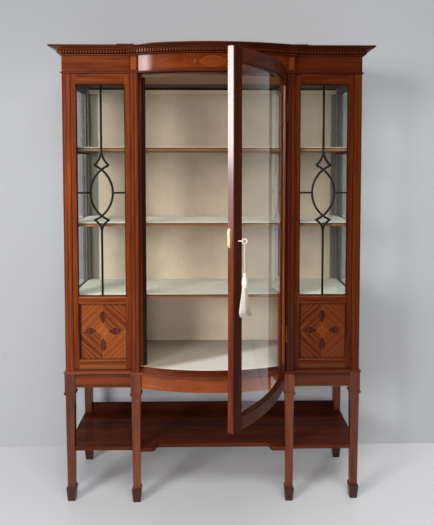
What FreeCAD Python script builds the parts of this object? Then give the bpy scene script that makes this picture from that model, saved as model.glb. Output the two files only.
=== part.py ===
import FreeCAD, Part
import Sketcher
import math
import os
import re

from FreeCAD import Placement, Rotation, Vector

# Breakfront display cabinet on a stand: a dentil cornice over a glazed carcass with a bowed
# centre door, standing on six tapered legs with a shelf between them.
# X runs to the right, Y towards the wall and Z up, in millimetres. The origin is on the floor,
# under the middle of the carcass. The door is drawn shut and then turned open about its hinge pins.

doc = FreeCAD.newDocument("display_cabinet")
sheet = doc.addObject("Spreadsheet::Sheet", "Sizes")
cells = []
nodes = []

Z_AXIS = Vector(0, 0, 1)
SIDES = (("left", -1), ("right", 1))

SIZES = {
    # Carcass between the waist moulding and the frieze bead
    "carcass_width": 1116,
    "carcass_depth": 346,
    "carcass_height": 1119,
    "post_size": 30,
    "ear_step": 13.5,
    "door_opening": 553,
    "bow_rise": 52,
    "bow_setback": 4,
    # Stand
    "stand_height": 496,
    "leg_block": 38,
    "collar_low": 417,
    "collar_height": 10,
    "collar_edge": 2.5,
    "collar_size": 44,
    "shaft_size": 33,
    "ankle_size": 27,
    "spade_size": 36,
    "spade_height": 50,
    "spade_flare": 13,
    "toe_size": 27,
    "apron_height": 52,
    "apron_thickness": 18,
    "cock_bead": 4,
    "cock_lip": 2,
    "undertier_height": 213,
    "undertier_thickness": 15,
    "undertier_run": 203,
    "undertier_ogee": 34,
    "undertier_recess": 33,
    "undertier_inset": 1,
    "upstand_height": 36,
    "upstand_thickness": 12,
    # Mouldings and head
    "waist_thickness": 11,
    "waist_lip": 8,
    "waist_bead": 4,
    "waist_bead_lip": 6,
    "quirk": 0.5,
    "bead_height": 8,
    "bead_lip": 5,
    "frieze_height": 58,
    "frieze_thickness": 18,
    "cornice_bead": 7,
    "cornice_bead_lip": 6,
    "dentil_band": 13,
    "dentil_lip": 8,
    "dentil_depth": 7,
    "dentil_width": 6,
    "dentil_pitch": 10.5,
    "dentil_backing": 1.5,
    "cyma_height": 9,
    "corona_lip": 20,
    "cornice_fillet": 4,
    "cornice_lip": 40,
    "top_thickness": 12,
    # Fixed frames at the front and sides
    "frame_setback": 2,
    "frame_thickness": 20,
    "frame_stile": 23,
    "frame_top_rail": 40,
    "frame_middle_rail": 30,
    "frame_bottom_rail": 44,
    "lower_panel_height": 213,
    "sight_width": 3.5,
    "sight_depth": 3,
    "rebate_width": 6,
    "rebate_inset": 9,
    "panel_thickness": 8,
    "glass_thickness": 3,
    "seat_clearance": 0.3,
    # Glazing bars
    "bar_width": 6.5,
    "bar_depth": 5,
    "oval_middle": 390,
    "oval_width": 84,
    "oval_height": 174,
    "spear_width": 58,
    "spear_height": 60,
    "spear_foot": 46,
    "spear_barb": 15,
    # Inside
    "floor_thickness": 14.5,
    "lining_thickness": 1.5,
    "ceiling_thickness": 12,
    "back_thickness": 8,
    "back_inset": 5,
    "back_rail_height": 24,
    "back_rail_thickness": 12,
    "shelf_thickness": 12.5,
    "shelf_lip": 8,
    "shelf_setback": 1,
    "shelf_lower_height": 287,
    "shelf_middle_height": 562,
    "shelf_top_height": 849,
    "bearer_width": 8,
    "bearer_height": 10,
    # Door
    "door_angle": 68,
    "door_thickness": 18,
    "door_gap": 1.5,
    "door_stile": 36,
    "door_top_rail": 45,
    "door_bottom_rail": 42,
    "door_glass_inset": 10,
    "glass_seat": 5,
    # Hinges
    "hinge_height": 64,
    "hinge_inset": 110,
    "leaf_width": 18,
    "leaf_thickness": 1.4,
    "knuckle_radius": 4,
    "knuckle_gap": 0.3,
    "pin_radius": 2,
    "pin_clearance": 0.05,
    "hinge_clearance": 0.2,
    # Lock, key and tassel
    "lock_height": 573,
    "lock_case_width": 29,
    "lock_case_height": 48,
    "lock_case_depth": 14,
    "lock_inset": 14,
    "selvedge_height": 56,
    "selvedge_width": 9,
    "selvedge_thickness": 1.6,
    "bolt_length": 25,
    "bolt_height": 14,
    "bolt_thickness": 5,
    "bolt_rise": 11,
    "bolt_throw": 8,
    "lock_clearance": 0.4,
    "key_inset": 17,
    "key_drop": 9,
    "key_shank_radius": 2.2,
    "key_reach": 12,
    "key_ring_radius": 7,
    "key_rim_radius": 1.2,
    "key_rim_thickness": 1.6,
    "key_bit_length": 8,
    "key_bit_width": 3.5,
    "key_bit_thickness": 2.4,
    "cord_radius": 1.2,
    "cord_gap": 0.3,
    "cord_drop": 85,
    "tassel_throat_radius": 3.5,
    "tassel_knot_radius": 5,
    "tassel_head_radius": 8.5,
    "tassel_head_height": 34,
    "tassel_neck_radius": 6,
    "tassel_skirt_radius": 17,
    "tassel_skirt_height": 84,
}

# Places worked out from the driving sizes above
PLACES = {
    "half_width": "carcass_width / 2",
    "front_y": "-carcass_depth / 2",
    "back_y": "carcass_depth / 2",
    "ear_y": "front_y - ear_step",
    "base_z": "stand_height + waist_thickness",
    "head_z": "base_z + carcass_height",
    "frieze_z": "head_z + bead_height",
    "cornice_z": "frieze_z + frieze_height",
    "dentil_z": "cornice_z + cornice_bead",
    "corona_z": "dentil_z + dentil_band",
    "fillet_z": "corona_z + cyma_height",
    "crown_z": "fillet_z + cornice_fillet",
    "outer_post_x": "half_width - post_size",
    "inner_post_x": "door_opening / 2",
    "bay_x": "inner_post_x + post_size",
    "bow_radius": "(inner_post_x ^ 2 + bow_rise ^ 2) / (2 * bow_rise)",
    "bow_centre": "ear_y - bow_rise + bow_radius",
    "face_radius": "bow_radius - bow_setback",
    "door_back_radius": "face_radius - door_thickness",
    "frame_y": "front_y + frame_setback",
    "frame_back": "frame_y + frame_thickness",
    "side_x": "half_width - frame_setback - frame_thickness",
    "middle_rail_z": "base_z + frame_bottom_rail + lower_panel_height",
    "glass_low": "middle_rail_z + frame_middle_rail",
    "glass_high": "head_z - frame_top_rail",
    "leg_outer_x": "half_width - post_size / 2",
    "leg_inner_x": "inner_post_x + post_size / 2",
    "leg_front_y": "front_y + post_size / 2",
    "leg_ear_y": "ear_y + post_size / 2",
    "leg_back_y": "back_y - leg_block / 2",
    "ankle_z": "spade_height + spade_flare",
    "shaft_z": "collar_low - collar_edge",
    "apron_z": "stand_height - apron_height",
    "tier_leg": "ankle_size + (shaft_size - ankle_size) * (undertier_height - ankle_z) / (shaft_z - ankle_z)",
    "tier_side_x": "leg_outer_x + tier_leg / 2 - undertier_inset",
    "tier_front_y": "leg_front_y - tier_leg / 2 + undertier_inset",
    "tier_ear_y": "leg_ear_y - tier_leg / 2 + undertier_inset",
    "tier_back_y": "leg_back_y + tier_leg / 2 - undertier_inset",
    "tier_ogee_x": "undertier_run + undertier_ogee",
    "tier_bend_x": "undertier_run + undertier_ogee / 2",
    "tier_bend_y": "tier_ear_y + undertier_recess / 2",
    "tier_middle_y": "tier_ear_y + undertier_recess",
    "ogee_radius": "(undertier_ogee ^ 2 + undertier_recess ^ 2) / (4 * undertier_recess)",
    "floor_z": "base_z + floor_thickness + lining_thickness",
    "ceiling_z": "head_z - ceiling_thickness",
    "panel_y": "back_y - back_inset - back_thickness",
    "lining_y": "panel_y - lining_thickness",
    "shelf_front": "front_y + post_size + shelf_setback",
    "door_half": "door_opening / 2 - door_gap",
    "door_low": "base_z + door_gap",
    "door_high": "head_z - door_gap",
    "light_half": "door_half - door_stile",
    "light_low": "door_low + door_bottom_rail",
    "light_high": "door_high - door_top_rail",
    "hinge_x": "inner_post_x - door_gap / 2",
    "hinge_y": "ear_y - knuckle_radius - hinge_clearance",
    "heel_y": "bow_centre - sqrt(door_back_radius ^ 2 - door_half ^ 2)",
    "heel_radius": "sqrt((hinge_x - door_half) ^ 2 + (heel_y - hinge_y) ^ 2)",
    "key_x": "key_inset - door_half",
    "key_z": "base_z + lock_height - key_drop",
    "key_face_y": "bow_centre - sqrt(face_radius ^ 2 - key_x ^ 2)",
    "ring_y": "key_face_y - key_reach - key_ring_radius",
    "lock_z": "base_z + lock_height",
    "lock_y": "key_face_y + lock_inset",
    "bolt_z": "lock_z + bolt_rise - bolt_height / 2",
    "bolt_y": "lock_y + bolt_thickness / 2",
    "bit_y": "lock_y + lock_case_depth / 2",
    "hang_z": "key_z - key_ring_radius",
    "knot_z": "hang_z - cord_drop",
}


def write_cell(alias, text):
    """Add one aliased cell to the sheet."""
    cells.append(alias)
    address = "B%d" % len(cells)
    sheet.set("A%d" % len(cells), alias)
    sheet.set(address, text)
    sheet.setAlias(address, alias)


def size(alias):
    """The number that a cell of the sheet holds."""
    return float(sheet.get(alias))


def bound(formula):
    """A formula on cell names, written as the document's expressions need it."""
    def named(match):
        word = match.group(0)
        return "Sizes." + word if word in cells else word
    return re.sub(r"[a-z_]+", named, formula)


def node(shape_object, name):
    """Give an object its node name and list it for export."""
    shape_object.Label = name
    nodes.append(shape_object)
    return shape_object


def box(x, y, z, length, width, height):
    """A box with its low corner and its sizes bound to the sheet."""
    solid = doc.addObject("Part::Box", "Board")
    for field, formula in (("Length", length), ("Width", width), ("Height", height),
                           ("Placement.Base.x", x), ("Placement.Base.y", y),
                           ("Placement.Base.z", z)):
        solid.setExpression(field, bound(formula))
    return solid


def side_box(sign, x, y, z, length, width, height):
    """A box on the right of the middle plane, or its mirror place on the left."""
    low = x if sign > 0 else "-(%s) - (%s)" % (x, length)
    return box(low, y, z, length, width, height)


def cylinder(x, y, z, radius, height, turn=None):
    """An upright round bar with its foot at a place, or one turned to point along an axis."""
    solid = doc.addObject("Part::Cylinder", "Round")
    if turn:
        solid.Placement = Placement(Vector(), turn)
    for field, formula in (("Radius", radius), ("Height", height), ("Placement.Base.x", x),
                           ("Placement.Base.y", y), ("Placement.Base.z", z)):
        solid.setExpression(field, bound(formula))
    return solid


def cut(base, *tools):
    """One object less the others."""
    result = doc.addObject("Part::Cut", "Cut")
    result.Base = base
    result.Tool = tools[0] if len(tools) == 1 else fuse(*tools)
    return result


def fuse(*parts):
    """Several objects joined."""
    result = doc.addObject("Part::MultiFuse", "Fuse")
    result.Shapes = list(parts)
    return result


def common(first, second):
    """What two objects share."""
    result = doc.addObject("Part::Common", "Common")
    result.Base = first
    result.Tool = second
    return result


def shaped(name, solid):
    """An object that holds a solid worked out from the sheet."""
    result = doc.addObject("Part::Feature", name)
    result.Shape = solid
    return result


def bow_board(outer, inner, half, low, height, start=None):
    """A board bent to the bow of the front, between two radii and two upright end planes."""
    ring = cut(cylinder("0", "bow_centre", low, outer, height),
               cylinder("0", "bow_centre", low, inner, height))
    left = start or "-(%s)" % half
    window = box(left, "bow_centre - face_radius - bow_rise", low,
                 "(%s) - (%s)" % (half, left), "face_radius + bow_rise", height)
    return common(ring, window)


def plan_corners(offset, z):
    """Corners of the breakfront plan grown by an offset, from the back left round to the back right."""
    half = size("half_width") + offset
    side_front = size("front_y") - offset
    ear_front = size("ear_y") - offset
    ear_out = size("bay_x") + offset
    radius = size("bow_radius") + offset
    ear_in = math.sqrt(radius ** 2 - (size("bow_centre") - ear_front) ** 2)
    right = [(ear_in, ear_front), (ear_out, ear_front), (ear_out, side_front),
             (half, side_front), (half, size("back_y"))]
    left = [(-x, y) for x, y in reversed(right)]
    return [Vector(x, y, z) for x, y in left + right]


def straight(first, last):
    """A straight edge."""
    return Part.LineSegment(first, last).toShape()


def front_edges(offset, z):
    """Edges of the plan from the back left to the back right, with the bow in the middle."""
    corners = plan_corners(offset, z)
    crown = Vector(0, size("bow_centre") - size("bow_radius") - offset, z)
    edges = []
    for first, last in zip(corners, corners[1:]):
        on_bow = first.x < 0 < last.x
        edges.append(Part.Arc(first, crown, last).toShape() if on_bow else straight(first, last))
    return edges


def front_outline(offset, z):
    """The closed plan of the breakfront, grown by an offset at the front and sides, at a height."""
    corners = plan_corners(offset, z)
    return Part.Wire(front_edges(offset, z) + [straight(corners[-1], corners[0])])


def moulded_slab(levels):
    """A slab whose edge follows a profile, given as heights and offsets from the plan."""
    return Part.makeLoft([front_outline(offset, z) for z, offset in levels], True, True)


def plan_prism(offset, low, height):
    """An upright block on the plan at one offset."""
    return Part.Face(front_outline(offset, low)).extrude(Vector(0, 0, height))


for alias, number in SIZES.items():
    write_cell(alias, str(number))
for alias, formula in PLACES.items():
    write_cell(alias, "=" + formula)
doc.recompute()


# Legs: square tapers with a collar under the block and a spade foot

LEG_SECTIONS = (
    ("0", "toe_size"),
    ("spade_height", "spade_size"),
    ("ankle_z", "ankle_size"),
    ("shaft_z", "shaft_size"),
    ("collar_low", "collar_size - collar_edge"),
    ("collar_low + collar_edge", "collar_size"),
    ("collar_low + collar_height - collar_edge", "collar_size"),
    ("collar_low + collar_height", "leg_block"),
    ("stand_height", "leg_block"),
)


def frustum(x, y, low, low_size, high, high_size):
    """A square block that tapers from one size to another between two heights."""
    solid = doc.addObject("Part::Wedge", "Taper")
    solid.Placement = Placement(Vector(), Rotation(Vector(1, 0, 0), 90))
    spans = (("X", low_size), ("Z", low_size), ("X2", high_size), ("Z2", high_size))
    for axis, width in spans:
        solid.setExpression(axis + "min", bound("-(%s) / 2" % width))
        solid.setExpression(axis + "max", bound("(%s) / 2" % width))
    solid.setExpression("Ymin", bound("0"))
    solid.setExpression("Ymax", bound("(%s) - (%s)" % (high, low)))
    for axis, formula in (("x", x), ("y", y), ("z", low)):
        solid.setExpression("Placement.Base." + axis, bound(formula))
    return solid


def leg(name, x, y):
    """One tapered leg: square frustums stacked from the toe to the top of its block."""
    stack = [frustum(x, y, low, low_size, high, high_size) for (low, low_size), (high, high_size)
             in zip(LEG_SECTIONS, LEG_SECTIONS[1:])]
    return node(fuse(*stack), name)


legs = []
for side, sign in SIDES:
    legs.append(leg("leg_front_" + side, "%d * leg_outer_x" % sign, "leg_front_y"))
    legs.append(leg("leg_inner_" + side, "%d * leg_inner_x" % sign, "leg_ear_y"))
    legs.append(leg("leg_back_" + side, "%d * leg_outer_x" % sign, "leg_back_y"))


# Undertier: a board with an ogee step at each inner leg, housed round the legs

def outline_sketch(body, name, corners, bends):
    """A closed sketch on the ground plane through named corners, with some sides bent.

    bends maps the number of a side to its radius cell and to 1 or -1 for the way it bulges:
    1 bulges to the right of the way along the side.
    """
    sketch = body.newObject("Sketcher::SketchObject", name)
    plane = [f for f in body.Origin.OriginFeatures if f.Role == "XY_Plane"][0]
    sketch.AttachmentSupport = [(plane, "")]
    sketch.MapMode = "FlatFace"
    points = [Vector(sx * size(x), sy * size(y), 0) for sx, x, sy, y in corners]
    starts = []
    ends = []
    for index, first in enumerate(points):
        last = points[(index + 1) % len(points)]
        if index in bends:
            radius_cell, bulge = bends[index]
            radius = size(radius_cell)
            along = last - first
            across = Vector(along.y, -along.x, 0).normalize()
            reach = math.sqrt(radius ** 2 - (along.Length / 2) ** 2)
            centre = (first + last) / 2 - across * reach * bulge
            angles = [math.atan2(p.y - centre.y, p.x - centre.x) for p in (first, last)]
            if bulge < 0:
                angles.reverse()
            arc = Part.ArcOfCircle(Part.Circle(centre, Z_AXIS, radius), *angles)
            item = sketch.addGeometry(arc)
            starts.append((item, 1 if bulge > 0 else 2))
            ends.append((item, 2 if bulge > 0 else 1))
            rule = sketch.addConstraint(Sketcher.Constraint("Radius", item, radius))
            sketch.setExpression("Constraints[%d]" % rule, "Sizes." + radius_cell)
        else:
            item = sketch.addGeometry(Part.LineSegment(first, last))
            starts.append((item, 1))
            ends.append((item, 2))
    for index, corner in enumerate(corners):
        item, end = starts[index]
        other, tail = ends[index - 1]
        sketch.addConstraint(Sketcher.Constraint("Coincident", other, tail, item, end))
        for kind, sign, cell in (("DistanceX", corner[0], corner[1]),
                                 ("DistanceY", corner[2], corner[3])):
            rule = sketch.addConstraint(
                Sketcher.Constraint(kind, -1, 1, item, end, sign * size(cell)))
            sketch.setExpression("Constraints[%d]" % rule, "%d * Sizes.%s" % (sign, cell))
    return sketch


UNDERTIER_CORNERS = (
    (-1, "tier_side_x", 1, "tier_front_y"),
    (-1, "leg_inner_x", 1, "tier_front_y"),
    (-1, "leg_inner_x", 1, "tier_ear_y"),
    (-1, "tier_ogee_x", 1, "tier_ear_y"),
    (-1, "tier_bend_x", 1, "tier_bend_y"),
    (-1, "undertier_run", 1, "tier_middle_y"),
    (1, "undertier_run", 1, "tier_middle_y"),
    (1, "tier_bend_x", 1, "tier_bend_y"),
    (1, "tier_ogee_x", 1, "tier_ear_y"),
    (1, "leg_inner_x", 1, "tier_ear_y"),
    (1, "leg_inner_x", 1, "tier_front_y"),
    (1, "tier_side_x", 1, "tier_front_y"),
    (1, "tier_side_x", 1, "tier_back_y"),
    (-1, "tier_side_x", 1, "tier_back_y"),
)
OGEES = {3: ("ogee_radius", 1), 4: ("ogee_radius", -1),
         6: ("ogee_radius", -1), 7: ("ogee_radius", 1)}

tier_body = doc.addObject("PartDesign::Body", "UndertierBoard")
tier_pad = tier_body.newObject("PartDesign::Pad", "UndertierPad")
tier_pad.Profile = outline_sketch(tier_body, "UndertierOutline", UNDERTIER_CORNERS, OGEES)
tier_pad.setExpression("Length", bound("undertier_thickness"))
tier_body.setExpression("Placement.Base.z", bound("undertier_height - undertier_thickness"))
node(cut(tier_body, *legs), "undertier")
upstand = box("-leg_outer_x", "leg_back_y - upstand_thickness / 2", "undertier_height",
              "2 * leg_outer_x", "upstand_thickness", "upstand_height")
node(cut(upstand, *legs), "undertier_upstand")


# Aprons between the leg blocks, with a cock bead along the lower edge of those that show

def group(name, parts):
    """One node that holds several like solids."""
    result = doc.addObject("Part::Compound", "Group")
    result.Links = parts
    return node(result, name)


def pair(name, make):
    """One node that holds a left and a right solid."""
    return group(name, [make(sign) for side, sign in SIDES])


def front_apron(sign, lip, height):
    """A board between the front and inner leg blocks, set forward by a lip."""
    return side_box(sign, "leg_inner_x + leg_block / 2", "front_y - (%s)" % lip, "apron_z",
                    "leg_outer_x - leg_inner_x - leg_block", "apron_thickness", height)


def bowed_apron(lip, height):
    """A board bent to the bow between the inner leg blocks."""
    return bow_board("face_radius + (%s)" % lip, "face_radius - apron_thickness",
                     "leg_inner_x - leg_block / 2", "apron_z", height)


def side_apron(sign, lip, height):
    """A board between the front and back leg blocks of one side."""
    return side_box(sign, "half_width - apron_thickness + (%s)" % lip, "leg_front_y + leg_block / 2",
                    "apron_z", "apron_thickness", "leg_back_y - leg_front_y - leg_block", height)


for side, sign in SIDES:
    node(fuse(front_apron(sign, "0", "apron_height"), front_apron(sign, "cock_lip", "cock_bead")),
         "apron_" + side)
node(fuse(bowed_apron("0", "apron_height"), bowed_apron("cock_lip", "cock_bead")), "apron_centre")
pair("apron_sides", lambda sign: fuse(side_apron(sign, "0", "apron_height"),
                                      side_apron(sign, "cock_lip", "cock_bead")))
node(box("leg_block / 2 - leg_outer_x", "leg_back_y - apron_thickness / 2", "apron_z",
         "2 * leg_outer_x - leg_block", "apron_thickness", "apron_height"), "apron_back")


# Mouldings that run round the front and sides: waist, frieze bead, cornice and dentils

BEAD_STEPS = 4
CYMA_STEPS = 6


def half_round(low, height, root, lip):
    """Levels of a half-round bead between two heights, from its root out to its lip."""
    turns = [math.pi * step / BEAD_STEPS for step in range(BEAD_STEPS + 1)]
    return [(low + height * (1 - math.cos(a)) / 2, root + (lip - root) * math.sin(a))
            for a in turns]


def waist_levels():
    """A small bead under a fuller one, whose top comes back to the plan."""
    low = size("stand_height")
    bead = size("waist_bead")
    root = size("waist_bead_lip") / 2
    upper = half_round(low + bead, size("waist_thickness") - bead, 0, size("waist_lip"))
    upper[0] = (low + bead + size("quirk"), root)
    return half_round(low, bead, root, size("waist_bead_lip")) + upper


def cornice_levels():
    """A bead, the flat behind the dentils, a cyma and the top fillet."""
    quirk = size("quirk")
    flat = size("dentil_lip")
    levels = half_round(size("cornice_z"), size("cornice_bead"), quirk, size("cornice_bead_lip"))
    levels += [(size("dentil_z") + quirk, flat), (size("corona_z"), flat)]
    start = size("corona_lip")
    sweep = size("cornice_lip") - start - quirk
    rise = size("cyma_height") - 2 * quirk
    for step in range(CYMA_STEPS + 1):
        share = step / CYMA_STEPS
        levels.append((size("corona_z") + quirk + rise * share,
                       start + sweep * (1 - math.cos(math.pi * share)) / 2))
    return levels + [(size("fillet_z"), size("cornice_lip")), (size("crown_z"), size("cornice_lip"))]


def ring(levels, inset):
    """A moulding that runs round the front and sides, hollow inside an inset from the plan."""
    low = levels[0][0]
    height = levels[-1][0] - low
    return moulded_slab(levels).cut(plan_prism(-inset, low, height))


def teeth_on_line(first, last):
    """Middle points of the dentils on a straight run, with the run's direction."""
    along = last - first
    corner_gap = size("dentil_width")
    pitch = size("dentil_pitch")
    steps = int((along.Length - 2 * corner_gap) // pitch)
    margin = (along.Length - steps * pitch) / 2
    way = along / along.Length
    return [(first + way * (margin + index * pitch), way) for index in range(steps + 1)]


def teeth_on_bow(first):
    """Middle points of the dentils along the bow from its left corner, with the direction there."""
    centre = Vector(0, size("bow_centre"), first.z)
    radius = (first - centre).Length
    half_turn = math.asin(-first.x / radius)
    count = int(2 * half_turn * radius // size("dentil_pitch"))
    step = 2 * half_turn / count
    teeth = []
    for index in range(count):
        angle = -half_turn + step * (index + 0.5)
        out = Vector(math.sin(angle), -math.cos(angle), 0)
        teeth.append((centre + out * radius, Vector(-out.y, out.x, 0)))
    return teeth


def dentil_course():
    """A comb-shaped strip: a thin backing on the cornice's flat, with a row of square teeth."""
    low = size("dentil_z") + size("quirk")
    depth = size("dentil_depth") - size("dentil_backing")
    half = size("dentil_width") / 2
    corners = plan_corners(size("dentil_lip") + size("dentil_backing"), low)
    comb = [corners[0]]
    for first, last in zip(corners, corners[1:]):
        if first.x < 0 < last.x:
            teeth = teeth_on_bow(first)
        elif (last - first).Length > 2 * size("dentil_pitch"):
            teeth = teeth_on_line(first, last)
        else:
            teeth = []
        for middle, way in teeth:
            out = Vector(way.y, -way.x, 0) * depth
            start = middle - way * half
            end = middle + way * half
            comb += [start, start + out, end + out, end]
        comb.append(last)
    wall = plan_corners(size("dentil_lip"), low)
    edges = [straight(first, last) for first, last in zip(comb, comb[1:])]
    edges += front_edges(size("dentil_lip"), low)
    edges += [straight(comb[0], wall[0]), straight(comb[-1], wall[-1])]
    outline = Part.Wire(Part.sortEdges(edges)[0])
    return Part.Face(outline).extrude(Vector(0, 0, size("dentil_band") - 2 * size("quirk")))


node(shaped("WaistMoulding", moulded_slab(waist_levels())), "waist_moulding")
node(shaped("Cornice", ring(cornice_levels(), size("frieze_thickness") / 2)), "cornice")
node(shaped("DentilCourse", dentil_course()), "dentil_course")
node(shaped("TopBoard", plan_prism(-size("frieze_thickness") / 2, size("cornice_z"),
                                   size("top_thickness"))), "top_board")


# Posts: the inner pair run up through the frieze as its ear blocks

KNUCKLES = 3
HINGE_FEET = ("door_low + hinge_inset", "door_high - hinge_inset - hinge_height")

post_tools = []
back_posts = []
inner_posts = {}
for side, sign in SIDES:
    front_post = side_box(sign, "outer_post_x", "front_y", "base_z",
                          "post_size", "post_size", "carcass_height")
    back_post = side_box(sign, "outer_post_x", "back_y - post_size", "base_z",
                         "post_size", "post_size", "carcass_height")
    inner_posts[side] = side_box(sign, "inner_post_x", "ear_y", "base_z", "post_size",
                                 "frame_back - ear_y", "cornice_z - base_z")
    post_tools += [front_post, back_post, inner_posts[side]]
    node(front_post, "post_front_" + side)
    back_posts.append(back_post)
group("posts_back", back_posts)

bolt_mortise = box("-inner_post_x - bolt_throw", "bolt_y - lock_clearance", "bolt_z - lock_clearance",
                   "bolt_throw", "bolt_thickness + 2 * lock_clearance",
                   "bolt_height + 2 * lock_clearance")
node(cut(inner_posts["left"], bolt_mortise), "post_inner_left")
leaf_recesses = [box("inner_post_x", "ear_y", foot, "leaf_thickness", "leaf_width", "hinge_height")
                 for foot in HINGE_FEET]
node(cut(inner_posts["right"], *leaf_recesses), "post_inner_right")


# Floor, ceiling and back

def carcass_board(low, height):
    """A board on the inside plan: straight between the frames, bowed behind the door.

    It is scooped out beside the hinges, where the heel of the door turns.
    """
    straight_part = box("-side_x", "frame_back", low, "2 * side_x", "lining_y - frame_back", height)
    disc = cylinder("0", "bow_centre", low, "door_back_radius - door_gap", height)
    window = box("-inner_post_x", "bow_centre - face_radius", low, "2 * inner_post_x",
                 "frame_back - bow_centre + face_radius", height)
    heel = cylinder("hinge_x", "hinge_y", low, "heel_radius + door_gap", height)
    return cut(fuse(straight_part, common(disc, window)), heel, *post_tools)


node(carcass_board("base_z", "floor_thickness"), "floor_board")
node(carcass_board("base_z + floor_thickness", "lining_thickness"), "floor_lining")
node(carcass_board("ceiling_z", "ceiling_thickness"), "ceiling_board")


def back_board(y, low, thickness, height):
    """A board between the back posts."""
    return box("-outer_post_x", y, low, "2 * outer_post_x", thickness, height)


node(back_board("panel_y", "base_z", "back_thickness", "cornice_z - base_z"), "back_panel")
node(back_board("lining_y", "floor_z", "lining_thickness", "ceiling_z - floor_z"), "back_lining")
node(back_board("lining_y - back_rail_thickness", "ceiling_z - back_rail_height",
                "back_rail_thickness", "back_rail_height"), "back_rail")


# Fixed frames: two openings each with a stepped edge outside, rebated from the inside for the
# glass and the lower panel

OPENINGS = (("glass_low", "glass_high - glass_low"),
            ("base_z + frame_bottom_rail", "lower_panel_height"))


def front_hole(sign, grow, start, depth, low, height):
    """A block through an opening of a front frame, grown on all four sides, from a depth inwards."""
    return side_box(sign, "bay_x + frame_stile - (%s)" % grow, "frame_y + (%s)" % start,
                    "%s - (%s)" % (low, grow), "outer_post_x - bay_x - 2 * frame_stile + 2 * (%s)" % grow,
                    depth, "%s + 2 * (%s)" % (height, grow))


def side_hole(sign, grow, start, depth, low, height):
    """The same for a side frame, from a depth behind its outer face inwards."""
    return side_box(sign, "side_x + frame_thickness - (%s) - (%s)" % (start, depth),
                    "front_y + post_size + frame_stile - (%s)" % grow, "%s - (%s)" % (low, grow),
                    depth, "carcass_depth - 2 * post_size - 2 * frame_stile + 2 * (%s)" % grow,
                    "%s + 2 * (%s)" % (height, grow))


def framed(frame, hole, sign):
    """A frame less its two openings, their stepped edges and their rebates."""
    tools = []
    for low, height in OPENINGS:
        tools.append(hole(sign, "0", "0", "frame_thickness", low, height))
        tools.append(hole(sign, "sight_width", "0", "sight_depth", low, height))
        tools.append(hole(sign, "rebate_width", "rebate_inset", "frame_thickness - rebate_inset",
                          low, height))
    return cut(frame, *tools)


def fill(hole, sign, thickness, opening):
    """A pane or panel seated in the rebate of an opening."""
    return hole(sign, "rebate_width - seat_clearance", "rebate_inset", thickness, *opening)


for side, sign in SIDES:
    front = side_box(sign, "bay_x", "frame_y", "base_z", "outer_post_x - bay_x", "frame_thickness",
                     "carcass_height")
    node(framed(front, front_hole, sign), "front_frame_" + side)
    node(fill(front_hole, sign, "panel_thickness", OPENINGS[1]), "front_panel_" + side)
    flank = side_box(sign, "side_x", "front_y + post_size", "base_z", "frame_thickness",
                     "carcass_depth - 2 * post_size", "carcass_height")
    node(framed(flank, side_hole, sign), "side_frame_" + side)
pair("front_glass", lambda sign: fill(front_hole, sign, "glass_thickness", OPENINGS[0]))
pair("side_glass", lambda sign: fill(side_hole, sign, "glass_thickness", OPENINGS[0]))
pair("side_panels", lambda sign: fill(side_hole, sign, "panel_thickness", OPENINGS[1]))


# Glazing bars: an oval whose sides run on into barbs, spears above and below, and straight bars

def curved_bar(x, z, radius, first, last):
    """A bar along an arc about a point of the front, between two angles from the X axis."""
    half = size("bar_width") / 2
    y = size("frame_y") + size("rebate_inset") - size("bar_depth")
    ends = []
    edges = []
    for reach in (radius - half, radius + half):
        points = [Vector(x + reach * math.cos(a), y, z + reach * math.sin(a))
                  for a in (first, (first + last) / 2, last)]
        edges.append(Part.Arc(*points).toShape())
        ends.append((points[0], points[2]))
    edges += [straight(ends[0][index], ends[1][index]) for index in (0, 1)]
    face = Part.Face(Part.Wire(Part.sortEdges(edges)[0]))
    return face.extrude(Vector(0, size("bar_depth"), 0))


def straight_bar(x, z, length, height):
    """A straight bar in the plane of the glass, from a low corner."""
    y = size("frame_y") + size("rebate_inset") - size("bar_depth")
    return Part.makeBox(length, size("bar_depth"), height, Vector(x, y, z))


def bar_pattern(sign):
    """All the bars of one light, joined."""
    wide = size("bar_width")
    inner = size("bay_x") + size("frame_stile")
    outer = size("outer_post_x") - size("frame_stile")
    light = outer - inner
    middle = sign * (inner + outer) / 2
    level = size("glass_low") + size("oval_middle")
    half_wide = size("oval_width") / 2
    half_high = size("oval_height") / 2
    tip = half_high + size("spear_barb")
    apex = level + tip + size("spear_height")
    foot = level - tip - size("spear_foot")
    bars = [straight_bar(middle - wide / 2, apex, wide, size("glass_high") - apex),
            straight_bar(middle - wide / 2, size("glass_low"), wide, foot - size("glass_low")),
            straight_bar(middle - light / 2, level - wide / 2, light / 2 - half_wide, wide),
            straight_bar(middle + half_wide, level - wide / 2, light / 2 - half_wide, wide)]
    oval_radius = (half_high ** 2 + half_wide ** 2) / (2 * half_wide)
    sweep = math.asin(tip / oval_radius)
    reach = size("spear_width") / 2
    for way in (-1, 1):
        facing = 0 if way > 0 else math.pi
        bars.append(curved_bar(middle + way * (half_wide - oval_radius), level, oval_radius,
                               facing - sweep, facing + sweep))
        for end, height, sense in ((apex, size("spear_height"), -1), (foot, size("spear_foot"), 1)):
            radius = (reach ** 2 + height ** 2) / (2 * reach)
            start = math.pi - facing
            turn = math.asin(height / radius) * sense * -way
            bars.append(curved_bar(middle + way * radius, end, radius, start, start + turn))
    return bars[0].multiFuse(bars[1:]).removeSplitter()


node(shaped("GlazingBars", Part.makeCompound([bar_pattern(sign) for side, sign in SIDES])),
     "glazing_bars")


# Shelves: each sits on two bearers at the side frames, with a lining on top behind its front lip

SHELVES = ("lower", "middle", "top")


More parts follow.
